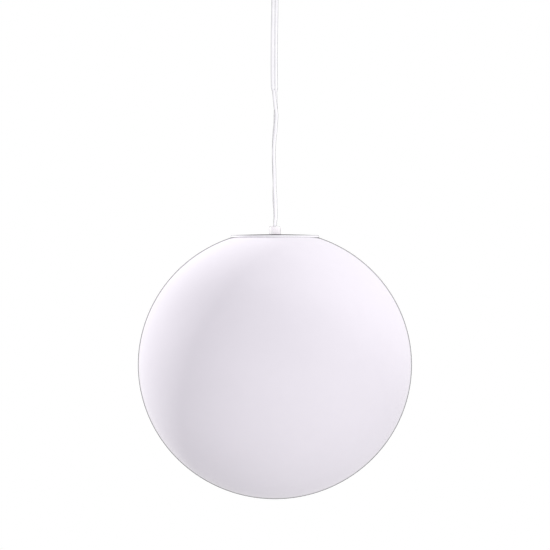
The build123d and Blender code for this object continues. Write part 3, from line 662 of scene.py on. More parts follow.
class Bench:
    """Modelling by hand: primitives shaped in edit mode and finished with modifiers."""

    @staticmethod
    def clear() -> None:
        """Leave edit mode with nothing selected."""
        if bpy.context.mode != "OBJECT":
            bpy.ops.object.mode_set(mode="OBJECT")
        bpy.ops.object.select_all(action="DESELECT")

    @classmethod
    def hold(cls, piece: Piece) -> Piece:
        """Make a piece the only selected and active one.

        Args:
            piece: the piece.

        Returns:
            The same piece.
        """
        cls.clear()
        piece.select_set(True)
        bpy.context.view_layer.objects.active = piece
        return piece

    @classmethod
    def done(cls, name: str) -> Piece:
        """Leave edit mode, name the piece and put its place into its mesh.

        Args:
            name: the piece's name.

        Returns:
            The piece.
        """
        bpy.ops.object.mode_set(mode="OBJECT")
        piece = bpy.context.object
        piece.name = piece.data.name = name
        cls.hold(piece)
        bpy.ops.object.transform_apply(location=True, rotation=True, scale=True)
        return piece

    @classmethod
    def edit(cls, piece: Piece | None = None) -> None:
        """Enter edit mode, on a piece if one is given.

        Args:
            piece: the piece, or None for the active one.
        """
        if piece is not None:
            cls.hold(piece)
        bpy.ops.object.mode_set(mode="EDIT")

    @staticmethod
    def pick(wanted: Callable[[Vector], bool]) -> None:
        """Select the vertices whose place is wanted, and the edges and faces between them.

        Args:
            wanted: tells from a vertex's place, in metres, whether it is selected.
        """
        piece = bpy.context.object
        bpy.ops.mesh.select_mode(type="VERT")
        bpy.ops.mesh.select_all(action="DESELECT")
        mesh = bmesh.from_edit_mesh(piece.data)
        for vertex in mesh.verts:
            vertex.select = wanted(piece.matrix_world @ vertex.co)
        mesh.select_flush(True)
        bmesh.update_edit_mesh(piece.data)

    @staticmethod
    def tidy() -> None:
        """Merge doubles and turn every face outwards, in edit mode."""
        bpy.ops.mesh.select_all(action="SELECT")
        bpy.ops.mesh.remove_doubles(threshold=WELD)
        bpy.ops.mesh.normals_make_consistent(inside=False)

    @classmethod
    def modify(cls, piece: Piece, kind: str, **settings: object) -> Piece:
        """Add a modifier to a piece and apply it.

        Args:
            piece: the piece.
            kind: the modifier's type.
            settings: its settings.

        Returns:
            The piece.
        """
        cls.hold(piece)
        made = piece.modifiers.new(kind.title(), kind)
        for name, value in settings.items():
            setattr(made, name, value)
        bpy.ops.object.modifier_apply(modifier=made.name)
        return piece

    @classmethod
    def rounded(cls, piece: Piece, width: float, degrees: float, shaded: float) -> Piece:
        """Round a piece's sharp edges and shade it smooth.

        Args:
            piece: the piece.
            width: of the rounding, millimetres.
            degrees: edges sharper than this are rounded.
            shaded: edges sharper than this stay sharp in the shading.

        Returns:
            The piece.
        """
        cls.modify(piece, "BEVEL", width=width * MM, segments=2, limit_method="ANGLE",
                   angle_limit=math.radians(degrees), use_clamp_overlap=True)
        return cls.smooth(piece, shaded)

    @classmethod
    def smooth(cls, piece: Piece, degrees: float) -> Piece:
        """Shade smooth, but for edges sharper than an angle.

        Args:
            piece: the piece.
            degrees: the angle.

        Returns:
            The piece.
        """
        cls.hold(piece)
        bpy.ops.object.shade_smooth_by_angle(angle=math.radians(degrees))
        return piece

    @classmethod
    def turned(cls, name: str, outline: Outline, steps: int = 96,
               centre: Pair = (0.0, 0.0)) -> Piece:
        """Turn an outline: a circle extruded ring by ring, each ring resized on the axis.

        Args:
            name: the piece's name.
            outline: (radius, height) stations in millimetres; it may start on the axis, end
                on the axis, or come back to its first station.
            steps: flats round the axis.
            centre: the axis, in millimetres.

        Returns:
            The piece, not yet smoothed.
        """
        cls.clear()
        stations = list(outline)
        flat_start = stations[0][0] == 0.0
        if flat_start:
            stations = stations[1:]
        x, y = centre[0] * MM, centre[1] * MM
        radius, height = stations[0]
        bpy.ops.mesh.primitive_circle_add(
            vertices=steps, radius=radius * MM, location=(x, y, height * MM),
            fill_type="TRIFAN" if flat_start else "NOTHING")
        cls.edit()
        if flat_start:
            bpy.ops.mesh.region_to_loop()
        for next_radius, next_height in stations[1:]:
            rise = (next_height - height) * MM
            bpy.ops.mesh.extrude_edges_move(TRANSFORM_OT_translate={"value": (0, 0, rise)})
            if next_radius == 0.0:
                bpy.ops.mesh.merge(type="CENTER")
                break
            share = next_radius / radius
            bpy.ops.transform.resize(value=(share, share, 1.0),
                                     center_override=(x, y, next_height * MM))
            radius, height = next_radius, next_height
        cls.tidy()
        return cls.done(name)

    @classmethod
    def ball(cls, name: str, radius: float, half_height: float, centre: float, cut: float,
             lip: float, wall: float, steps: int = 128) -> Piece:
        """A hollow ball cut off flat at its top.

        Args:
            name: the piece's name.
            radius: at its widest, millimetres.
            half_height: from its centre to its lowest point.
            centre: height of its centre.
            cut: height of the flat.
            lip: width of the lip turned in at the flat, or 0.
            wall: its thickness, inwards.
            steps: flats round the axis.

        Returns:
            The piece, smoothed.
        """
        cls.clear()
        middle = (0.0, 0.0, centre * MM)
        bpy.ops.mesh.primitive_uv_sphere_add(segments=steps, ring_count=steps // 2 + 16,
                                             radius=radius * MM, location=middle)
        cls.edit()
        bpy.ops.transform.resize(value=(1.0, 1.0, half_height / radius), center_override=middle)
        bpy.ops.mesh.select_all(action="SELECT")
        bpy.ops.mesh.bisect(plane_co=(0.0, 0.0, cut * MM), plane_no=(0.0, 0.0, 1.0),
                            clear_outer=True, use_fill=lip > 0)
        if lip > 0:
            bpy.ops.mesh.select_mode(type="FACE")
            bpy.ops.mesh.inset(thickness=lip * MM, depth=0.0)
            bpy.ops.mesh.delete(type="FACE")
        cls.tidy()
        piece = cls.done(name)
        cls.modify(piece, "SOLIDIFY", thickness=wall * MM, offset=-1.0, use_even_offset=True)
        return piece

    @classmethod
    def loft(cls, name: str, sections: Sequence[Sequence[Triple]], capped: bool = True
             ) -> Piece:
        """Skin a row of sections that have as many points each.

        Args:
            name: the piece's name.
            sections: rings of points, in metres.
            capped: whether the ends are filled.

        Returns:
            The piece, faces outwards.
        """
        cls.clear()
        count = len(sections[0])
        points = [point for section in sections for point in section]
        faces = []
        for row in range(len(sections) - 1):
            for i in range(count):
                j = (i + 1) % count
                a, b = row * count, (row + 1) * count
                faces.append((a + i, a + j, b + j, b + i))
        if capped:
            faces.append(tuple(reversed(range(count))))
            faces.append(tuple(range(len(points) - count, len(points))))
        mesh = bpy.data.meshes.new(name)
        mesh.from_pydata(points, [], faces)
        cls.edit(linked(name, mesh))
        cls.tidy()
        return cls.done(name)

    @classmethod
    def strip(cls, name: str, line: Sequence[Pair], width: float, thick: float,
              bend: float) -> Piece:
        """A bent metal strip, in the plane through the axis and +X.

        Args:
            name: the piece's name.
            line: (x, z) corners of its middle line, millimetres.
            width: across the strip, along Y.
            thick: of the strip.
            bend: width of the rounding at each corner.

        Returns:
            The piece, smoothed.
        """
        cls.clear()
        x, z = line[0]
        bpy.ops.mesh.primitive_plane_add(size=width * MM, location=(x * MM, 0.0, z * MM))
        cls.edit()
        cls.pick(lambda place: place.x < x * MM)
        bpy.ops.mesh.delete(type="VERT")
        bpy.ops.mesh.select_all(action="SELECT")
        bpy.ops.transform.translate(value=(-width * MM / 2, 0.0, 0.0))
        for next_x, next_z in line[1:]:
            bpy.ops.mesh.extrude_edges_move(
                TRANSFORM_OT_translate={"value": ((next_x - x) * MM, 0.0, (next_z - z) * MM)})
            x, z = next_x, next_z
        piece = cls.done(name)
        cls.modify(piece, "BEVEL", width=bend * MM, segments=4, limit_method="ANGLE",
                   angle_limit=math.radians(12), affect="EDGES")
        cls.modify(piece, "SOLIDIFY", thickness=thick * MM, offset=0.0, use_even_offset=True)
        return cls.rounded(piece, 0.15, 50.0, 40.0)

    @classmethod
    def copied(cls, piece: Piece, name: str, degrees: float) -> Piece:
        """Copy a piece with its own mesh, turned about the light's axis.

        Args:
            piece: what is copied.
            name: the copy's name.
            degrees: its turn.

        Returns:
            The copy.
        """
        twin = piece.copy()
        twin.data = piece.data.copy()
        twin.name = twin.data.name = name
        bpy.context.scene.collection.objects.link(twin)
        twin.data.transform(Matrix.Rotation(math.radians(degrees), 4, "Z"))
        return twin

    @classmethod
    def joined(cls, name: str, pieces: Sequence[Piece]) -> Piece:
        """Make one piece of several.

        Args:
            name: the whole's name.
            pieces: what it is made of; all are used up.

        Returns:
            The whole.
        """
        cls.clear()
        for piece in pieces:
            piece.select_set(True)
        whole = bpy.context.view_layer.objects.active = pieces[0]
        bpy.ops.object.join()
        whole.name = whole.data.name = name
        return whole

    @classmethod
    def cut(cls, piece: Piece, *tools: Piece) -> Piece:
        """Cut a piece with others, which are used up.

        Args:
            piece: what is cut.
            tools: what cuts it.

        Returns:
            The piece.
        """
        for tool in tools:
            cls.modify(piece, "BOOLEAN", object=tool, operation="DIFFERENCE", solver="EXACT")
            bpy.data.objects.remove(tool)
        return piece

    @classmethod
    def side_rod(cls, name: str, radius: float, start: Triple, end: Triple, steps: int = 32
                 ) -> Piece:
        """A round bar between two points.

        Args:
            name: the bar's name.
            radius: its radius, millimetres.
            start: the middle of one end, millimetres.
            end: the middle of the other.
            steps: flats round it.

        Returns:
            The bar, not smoothed.
        """
        cls.clear()
        first, last = Vector(start) * MM, Vector(end) * MM
        along = last - first
        turn = along.to_track_quat("Z", "Y").to_euler()
        bpy.ops.mesh.primitive_cylinder_add(vertices=steps, radius=radius * MM, depth=along.length,
                                            location=(first + last) / 2, rotation=turn)
        cls.edit()
        return cls.done(name)


def arc(centre: Pair, radius: float, start: float, stop: float, steps: int) -> list[Pair]:
    """Stations along an arc of an outline.

    Args:
        centre: (radius, height) of its middle, millimetres.
        radius: of the arc.
        start: first angle in degrees, 0 outwards and 90 up.
        stop: last angle.
        steps: runs between the stations.

    Returns:
        The stations, both ends included.
    """
    turns = [math.radians(start + (stop - start) * i / steps) for i in range(steps + 1)]
    return [(centre[0] + radius * math.cos(turn), centre[1] + radius * math.sin(turn))
            for turn in turns]


def smooth_line(name: str, points: Sequence[Sequence[float]], resolution: int) -> Piece:
    """A smooth curve, not yet in the scene.

    Args:
        name: the curve's name.
        points: its control points, in metres.
        resolution: steps from one to the next.

    Returns:
        The curve's object.
    """
    curve = bpy.data.curves.new(name, "CURVE")
    curve.dimensions = "3D"
    curve.resolution_u = resolution
    spline = curve.splines.new("NURBS")
    spline.points.add(len(points) - 1)
    for point, place in zip(spline.points, points):
        point.co = (*place, 1.0)
    spline.order_u = 3
    spline.use_endpoint_u = True
    return bpy.data.objects.new(name, curve)


def hang(piece: Piece, body: Body, finish: Finish, *nodes: str) -> None:
    """Dress a piece, let it ride on a body and say which CAD nodes it stands for.

    Args:
        piece: the finished mesh.
        body: what it rides on.
        finish: its finish.
        nodes: the CAD nodes that it replaces.
    """
    piece.data.materials.clear()
    piece.data.materials.append(finish.material())
    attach(piece, body.value)
    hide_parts(*nodes)
    log.info("%s rides on %s, %d faces", piece.name, body.value, len(piece.data.polygons))


def coat(frame: dict, finish: Finish, *nodes: str) -> None:
    """Give CAD nodes that keep their shape a finish.

    Args:
        finish: their finish.
        nodes: the nodes' names.
    """
    for node in nodes:
        for slot in frame["nodes"][node].material_slots:
            slot.material = finish.material()
        log.info("%s keeps its CAD shape, in %s", node, finish.name)


# ---------------------------------------------------------------- the hanging flex
@dataclass
class HangingFlex:
    """Flat twin flex from the ceiling grip to the lamp, with its bend in the bell mouth."""

    width: float = 7.4
    thick: float = 3.7
    groove: float = 0.85
    lobe_points: int = 14
    tail_top: float = -16.0
    bend_start: float = -34.0
    bend_middle: float = -42.0
    bend_end: float = -50.0
    top: float = -50.3
    settled: float = -301.0    # the lamp carries it from here down
    length: float = 0.257
    step: float = 0.5          # between the sections of a straight length
    route: tuple[Triple, ...] = (      # control points of its line, metres
        (0.0, 0.0, -0.0503), (0.0, 0.0, -0.0620), (-0.0008, 0.0, -0.1020), (-0.0008, 0.0, -0.1500),
        (0.0006, 0.0004, -0.1690), (0.0015, 0.0005, -0.1840), (-0.0008, -0.0003, -0.2080),
        (-0.0014, -0.0004, -0.2260), (-0.0004, 0.0, -0.2520), (-0.0003, 0.0002, -0.2720),
        (0.0010, 0.0002, -0.2930), (0.0, 0.0, -0.2995), (0.0, 0.0, -0.3075))
    turns: tuple[Pair, ...] = (        # drop below its top, and how far it has turned
        (0.0, 0.0), (95.0, 0.0), (101.0, 12.0), (106.0, 68.0), (112.0, 70.0), (121.0, 82.0),
        (132.0, 110.0), (141.0, 103.0), (150.0, 108.0), (157.0, 97.0), (172.0, 90.0),
        (190.0, 96.0), (207.0, 90.0), (224.0, 109.0), (233.0, 101.0), (239.0, 103.0),
        (247.0, 92.0), (252.0, 90.0), (258.0, 90.0))

    def section(self) -> list[Pair]:
        """Outline of the flex: two round lobes and the web between, in millimetres.

        Returns:
            The outline's points.
        """
        lobe = self.thick / 2
        middle = self.width / 2 - lobe
        web = lobe - self.groove
        notch = math.degrees(math.asin(web / lobe))
        stop = 180.0 - notch
        right = arc((middle, 0.0), lobe, -stop, stop, self.lobe_points)
        left = [(-x, -y) for x, y in right]
        return right + left

    def turn_at(self, drop: float) -> float:
        """How far the flex has turned, in degrees, at a drop below its top end.

        Args:
            drop: distance below its top end, millimetres.

        Returns:
            The turn.
        """
        for (low, first), (high, last) in zip(self.turns, self.turns[1:]):
            if drop <= high:
                share = (drop - low) / (high - low)
                return first + (last - first) * share * share * (3 - 2 * share)
        return self.turns[-1][1]

    def ring(self, middle: Vector, degrees: float) -> list[Triple]:
        """One section of the flex, level, about a point of its line.

        Args:
            middle: the point, in metres.
            degrees: the section's turn.

        Returns:
            The section's points, in metres.
        """
        turn = math.radians(degrees)
        c, s = math.cos(turn), math.sin(turn)
        return [(middle.x + (x * c - y * s) * MM, middle.y + (x * s + y * c) * MM, middle.z)
                for x, y in self.section()]

    def line(self) -> list[Vector]:
        """Points along the route's smooth line, as Blender gives them.

        Returns:
            The points, in metres.
        """
        holder = smooth_line("flex_route", self.route, 16)
        mesh = bpy.data.meshes.new_from_object(holder)
        points = [vertex.co.copy() for vertex in mesh.vertices]
        bpy.data.meshes.remove(mesh)
        bpy.data.objects.remove(holder)
        return points

    def straight(self, name: str, high: float, low: float) -> Piece:
        """A straight length of flex, face-on.

        Args:
            name: the piece's name.
            high: its upper end, millimetres.
            low: its lower end.

        Returns:
            The piece, smoothed.
        """
        count = max(6, round((high - low) / self.step))
        heights = [high + (low - high) * i / count for i in range(count + 1)]
        rings = [self.ring(Vector((0.0, 0.0, z * MM)), 0.0) for z in heights]
        return Bench.smooth(Bench.loft(name, rings), 60.0)

    def build(self) -> None:
        finish = Finishes.flex
        points = self.line()
        rings = [self.ring(point, self.turn_at((self.top * MM - point.z) / MM)) for point in points]
        flex = Bench.smooth(Bench.loft("hanging_flex", rings), 60.0)
        tail = self.straight("flex_in_grip", self.tail_top, self.bend_middle)
        mouth = self.straight("flex_at_mouth", self.bend_middle, self.top)
        for piece, above, below, start, end, nodes in (
                (tail, Body.CEILING, Body.NECK_UPPER, self.bend_start, self.bend_middle,
                 ("ceiling_flex_tail", "flex_neck_upper")),
                (mouth, Body.NECK_UPPER, Body.NECK_LOWER, self.bend_middle, self.bend_end,
                 ("flex_neck_lower",)),
                (flex, Body.NECK_LOWER, Body.LAMP, self.top, self.settled, ("cord",))):
            piece.data.materials.append(finish.material())
            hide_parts(*nodes)
            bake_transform(piece)
            log.info("%s bends between %s and %s", piece.name, above.value, below.value)


# ---------------------------------------------------------------- the ceiling end
@dataclass
class CeilingFitting:
    """Canopy, bracket, terminal block and the bell-mouthed grip that holds the flex."""

    canopy_radius: float = 50.0
    canopy_rim: float = -2.0
    canopy_floor: float = -30.0
    canopy_wall: float = 2.0
    canopy_corner: float = 10.0
    neck_radius: float = 8.0
    neck_top: float = -19.0
    flange_radius: float = 13.5
    flange_end: float = -33.0
    nose_radius: float = 11.6
    nose_end: float = -50.5
    throat_radius: float = 4.2
    throat: float = -36.0
    mouth_radius: float = 9.6
    stub_end: float = -34.0
    slot_width: float = 7.8
    slot_thick: float = 4.1
    play: float = 0.2              # round the grip's neck
    screw_z: float = -11.0
    screw_hole: float = 2.1
    screw_sunk: float = 9.0        # its shank, inside the canopy
    core_line: tuple[Triple, ...] = (
        (1.85, 0.0, -17.0), (1.85, 0.0, -14.0), (3.0, 0.2, -10.2), (5.0, -0.5, -8.2),
        (5.0, -3.0, -8.0), (5.0, -5.2, -8.0))

    def canopy(self) -> Piece:
        """The turned cup, with a chamfered rim and its two screw holes.

        Returns:
            The cup.
        """
        r, top, low, wall, corner = (self.canopy_radius, self.canopy_rim, self.canopy_floor,
                                     self.canopy_wall, self.canopy_corner)
        bore = self.neck_radius + self.play
        outside = arc((r - corner, low + corner), corner, -90.0, 0.0, 14)
        inside = arc((r - corner, low + corner), corner - wall, 0.0, -90.0, 10)
        outline = [(bore, low), *outside, (r, top - 0.4), (r - 0.4, top), (r - wall + 0.3, top),
                   (r - wall, top - 0.3), *inside, (bore, low + wall), (bore, low)]
        cup = Bench.turned("ceiling_cup", outline, 144)
        Bench.cut(cup, Bench.side_rod("screw_hole", self.screw_hole, (-60.0, 0.0, self.screw_z),
                                      (60.0, 0.0, self.screw_z)))
        return Bench.rounded(cup, 0.25, 50.0, 40.0)

    def screw(self) -> Piece:
        """A pan-head screw through the canopy's side, with its slot.

        Returns:
            The screw, in its place.
        """
        sunk = self.screw_sunk
        outline = [(0.0, 0.0), (1.9, 0.0), (1.9, sunk), (3.6, sunk), (3.6, 9.7),
                   *arc((2.2, 9.9), 1.4, 0.0, 90.0, 6), (0.0, 11.3)]
        screw = Bench.turned("canopy_screw_right", outline, 40)
        slot = Bench.side_rod("slot", 4.0, (0.0, 0.0, 10.3), (0.0, 0.0, 14.0), 4)
        slot.data.transform(Matrix.Diagonal((2.0, 0.16, 1.0, 1.0))
                            @ Matrix.Rotation(math.pi / 4, 4, "Z"))
        Bench.cut(screw, slot)
        Bench.rounded(screw, 0.12, 45.0, 35.0)
        screw.data.transform(Matrix.Translation(((self.canopy_radius - sunk) * MM, 0.0,
                                                 self.screw_z * MM))
                             @ Matrix.Rotation(math.radians(90), 4, "Y"))
        return screw

    def grip(self) -> Piece:
        """The flex's grip: neck, ribbed flange, nose and flared throat.

        Returns:
            The grip.
        """
        throat = [(self.throat_radius, self.stub_end), (self.throat_radius, self.throat)]
        rise, flare = self.throat - self.nose_end, self.mouth_radius - self.throat_radius
        bend = (rise * rise + flare * flare) / (2 * flare)
        sweep = math.degrees(math.asin(rise / bend))
        throat += arc((self.throat_radius + bend, self.throat), bend, 180.0, 180.0 + sweep, 14)[1:]
        outline = [(0.0, self.neck_top), (self.neck_radius - 0.6, self.neck_top),
                   (self.neck_radius, self.neck_top - 0.6), (self.neck_radius, self.canopy_floor),
                   (self.flange_radius, self.canopy_floor), (self.flange_radius, self.flange_end),
                   (self.nose_radius + 0.8, self.flange_end), (self.nose_radius + 0.1, -47.5),
                   *arc((self.nose_radius - 0.9, self.nose_end + 0.9), 0.9, 0.0, -90.0, 5),
                   *reversed(throat), (0.0, self.stub_end)]
        grip = Bench.turned("bell_mouth_grip", outline, 120)
        Bench.edit(grip)
        low, high = self.flange_end * MM, self.canopy_floor * MM

        def on_rib(place: Vector) -> bool:
            """Every second pair of columns on the flange's rim."""
            turn = math.degrees(math.atan2(place.y, place.x)) % 360.0
            return (math.hypot(place.x, place.y) > (self.flange_radius - 0.2) * MM
                    and low - NEAR < place.z < high + NEAR and round(turn / 3.0) % 4 in (0, 1))

        Bench.pick(on_rib)
        bpy.ops.transform.resize(value=(0.965, 0.965, 1.0), center_override=(0.0, 0.0, low))
        grip = Bench.done("bell_mouth_grip")
        Bench.cut(grip, self.flex_slot(self.stub_end - 1.0, self.neck_top + 1.0))
        return Bench.rounded(grip, 0.3, 42.0, 38.0)

    def flex_slot(self, low: float, high: float) -> Piece:
        """A cutter the shape of the flex with its clearance, face-on.

        Args:
            low: its lower end, millimetres.
            high: its upper end.

        Returns:
            The cutter.
        """
        half = self.slot_thick / 2
        middle = self.slot_width / 2 - half
        right = arc((middle, 0.0), half, -90.0, 90.0, 10)
        outline = right + [(-x, -y) for x, y in right]
        rings = [[(x * MM, y * MM, z * MM) for x, y in outline] for z in (low, high)]
        return Bench.loft("flex_slot", rings)

    def build(self, frame: dict) -> None:
        """Model the ceiling end and hang it on the ceiling.
        """
        hang(self.canopy(), Body.CEILING, Finishes.enamel, "ceiling_canopy")
        right = self.screw()
        left = Bench.copied(right, "canopy_screw_left", 180.0)
        hang(Bench.joined("canopy_side_screws", [right, left]), Body.CEILING, Finishes.zinc,
             "canopy_screws")
        hang(self.grip(), Body.CEILING, Finishes.nylon, "canopy_cord_grip")
        cores = core_pair("ceiling_cores", self.core_line, (-1.0, 1.0, 1.0))
        hang(cores, Body.CEILING, Finishes.flex, "ceiling_flex_cores")
        coat(frame, Finishes.zinc, "ceiling_bracket", "terminal_block_screw")
        coat(frame, Finishes.rubber, "ceiling_gasket")
        coat(frame, Finishes.nylon, "canopy_grip_nut")
        coat(frame, Finishes.nylon_screw, "canopy_grip_screw")
        coat(frame, Finishes.block, "terminal_block")
        coat(frame, Finishes.brass, "terminal_inserts", "terminal_screws")


def core_pair(name: str, points: Sequence[Triple], mirror: Triple) -> Piece:
    """Two insulated cores along smooth lines.

    Args:
        name: the pair's name.
        points: the first one's control points, in millimetres.
        mirror: what the second one's points are multiplied by.

    Returns:
        Both cores as one mesh.
    """
    cores = []
    for i, sides in enumerate(((1.0, 1.0, 1.0), mirror)):
        core = smooth_line(f"core_{i}", [[c * side * MM for c, side in zip(place, sides)]
                                         for place in points], 8)
        core.data.bevel_depth = CORE_RADIUS * MM
        core.data.bevel_resolution = 5
        core.data.use_fill_caps = True
        bpy.context.scene.collection.objects.link(core)
        Bench.hold(core)
        bpy.ops.object.convert(target="MESH")
        cores.append(Bench.smooth(bpy.context.object, 50.0))
    return Bench.joined(name, cores)


# ---------------------------------------------------------------- the lamp's top
@dataclass
class LampTop:
    """Cord grip, cap and gasket: what shows of the lamp above the globe."""

    grip_radius: float = 6.25
    grip_top: float = -303.3
    grip_round: float = 1.4
    grip_foot: float = 0.25
    grip_socket: float = -307.0
    grub_hole: float = 1.35
    grub_z: float = -305.05
    cap_top: float = -312.2
    cap_radius: float = 48.2
    cap_rise: float = 1.1
    cap_round: float = 0.9
    cap_seat: float = -315.58
    cap_under: float = -315.1
    nipple_bore: float = 5.0
    groove_inner: float = 43.6
    groove_outer: float = 46.0
    groove_deep: float = 1.08
    cap_edge: float = 0.06

    def grip(self) -> Piece:
        """The small round grip, with the flex's slot and its grub screw's hole.

        Returns:
            The grip.
        """
        r, top, low, soft = self.grip_radius, self.grip_top, self.cap_top, self.grip_round
        foot, socket, bore = self.grip_foot, self.grip_socket, self.nipple_bore - 0.1
        outline = [(0.0, socket), (bore, socket), (bore, low), (r - foot, low), (r, low + foot),
                   (r, top - soft), *arc((r - soft, top - soft), soft, 0.0, 90.0, 8), (0.0, top)]
        grip = Bench.turned("flex_grip", outline, 96)
        slot = CeilingFitting().flex_slot(socket - 1.0, top + 1.0)
        slot.data.transform(Matrix.Rotation(math.radians(90), 4, "Z"))
        Bench.cut(grip, slot, Bench.side_rod("grub_hole", self.grub_hole, (0.0, 0.0, self.grub_z),
                                             (12.0, 0.0, self.grub_z), 24))
        return Bench.rounded(grip, 0.15, 50.0, 40.0)

    def cap(self) -> Piece:
        """The thin disc: low dome, rounded rim, groove for the gasket under it.

        Returns:
            The cap.
        """
        def dome(radius: float) -> Pair:
            """A station on the dome."""
            return radius, self.cap_top - self.cap_rise * (radius / self.cap_radius) ** 2

        crest = [dome(self.nipple_bore + (self.cap_radius - self.cap_round - self.nipple_bore)
                      * i / 14) for i in range(15)]
        rim = arc((self.cap_radius - self.cap_round, crest[-1][1] - self.cap_round),
                  self.cap_round, 88.0, 0.0, 6)
        r, seat, edge, groove = (self.cap_radius, self.cap_seat, self.cap_edge,
                                 self.cap_seat + self.groove_deep)
        outline = [(self.nipple_bore, self.cap_under), *crest, *rim, (r, seat + edge),
                   (r - edge, seat), (self.groove_outer, seat), (self.groove_outer, groove),
                   (self.groove_inner, groove), (self.groove_inner, self.cap_under),
                   (self.nipple_bore, self.cap_under)]
        return Bench.smooth(Bench.turned("globe_cover", outline, 160), 38.0)

    def build(self, frame: dict) -> None:
        """Model the lamp's top and hang it on the lamp.
        """
        hang(self.grip(), Body.LAMP, Finishes.milky, "cord_grip")
        hang(self.cap(), Body.LAMP, Finishes.cap, "globe_cap")
        coat(frame, Finishes.nylon_screw, "grip_clamp_screw")
        coat(frame, Finishes.silicone, "cap_gasket")
        coat(frame, Finishes.thread, "threaded_nipple")
        coat(frame, Finishes.zinc, "nipple_washer", "nipple_locknut")


@dataclass
class ClipGallery:
    """Three sprung clips riveted under the cap, which catch under the globe's lip."""

    count: int = 3
    width: float = 8.0
    thick: float = 0.7
    foot_z: float = -315.45
    foot_radius: float = 28.0
    arm_radius: float = 41.5
    bulge_z: float = -319.1
    catch: float = 2.6
    tail: float = 6.6
    rivet_circle: float = 33.0

    def clip(self) -> Piece:
        """One clip: foot under the cap, arm, bulge and turned-in tail.

        Returns:
            The clip on the side of +X.
        """
        arm, z = self.arm_radius, self.bulge_z
        line = [(self.foot_radius, self.foot_z), (arm - 1.2, self.foot_z), (arm, self.foot_z - 1.2),
                (arm, z), (arm + self.catch, z - 2.6), (arm - 0.6, z - 2.6 - self.tail * 0.6),
                (arm - 1.8, z - 2.6 - self.tail)]
        return Bench.strip("spring_clip_front", line, self.width, self.thick, 0.7)

    def rivet(self) -> Piece:
        """One rivet's domed head and shank.

        Returns:
            Its rivet.
        """
        low = self.foot_z - self.thick / 2
        outline = [(0.0, -313.5), (1.5, -313.5), (1.5, low), (2.7, low), (2.7, low - 0.25),
                   *arc((1.9, low - 0.2), 0.8, 0.0, -90.0, 5), (0.0, low - 1.0)]
        return Bench.smooth(Bench.turned("rivet", outline, 32, (self.rivet_circle, 0.0)), 40.0)

    def build(self) -> None:
        """Model one clip and one rivet and copy them round the axis."""
        turns = [360.0 * i / self.count for i in range(1, self.count)]
        for one, name, finish, node in (
                (self.clip(), "globe_clips", Finishes.spring, "spring_clips"),
                (self.rivet(), "globe_clip_rivets", Finishes.zinc, "clip_rivets")):
            copies = [Bench.copied(one, f"{name}_{turn}", turn) for turn in turns]
            hang(Bench.joined(name, [one, *copies]), Body.LAMP, finish, node)


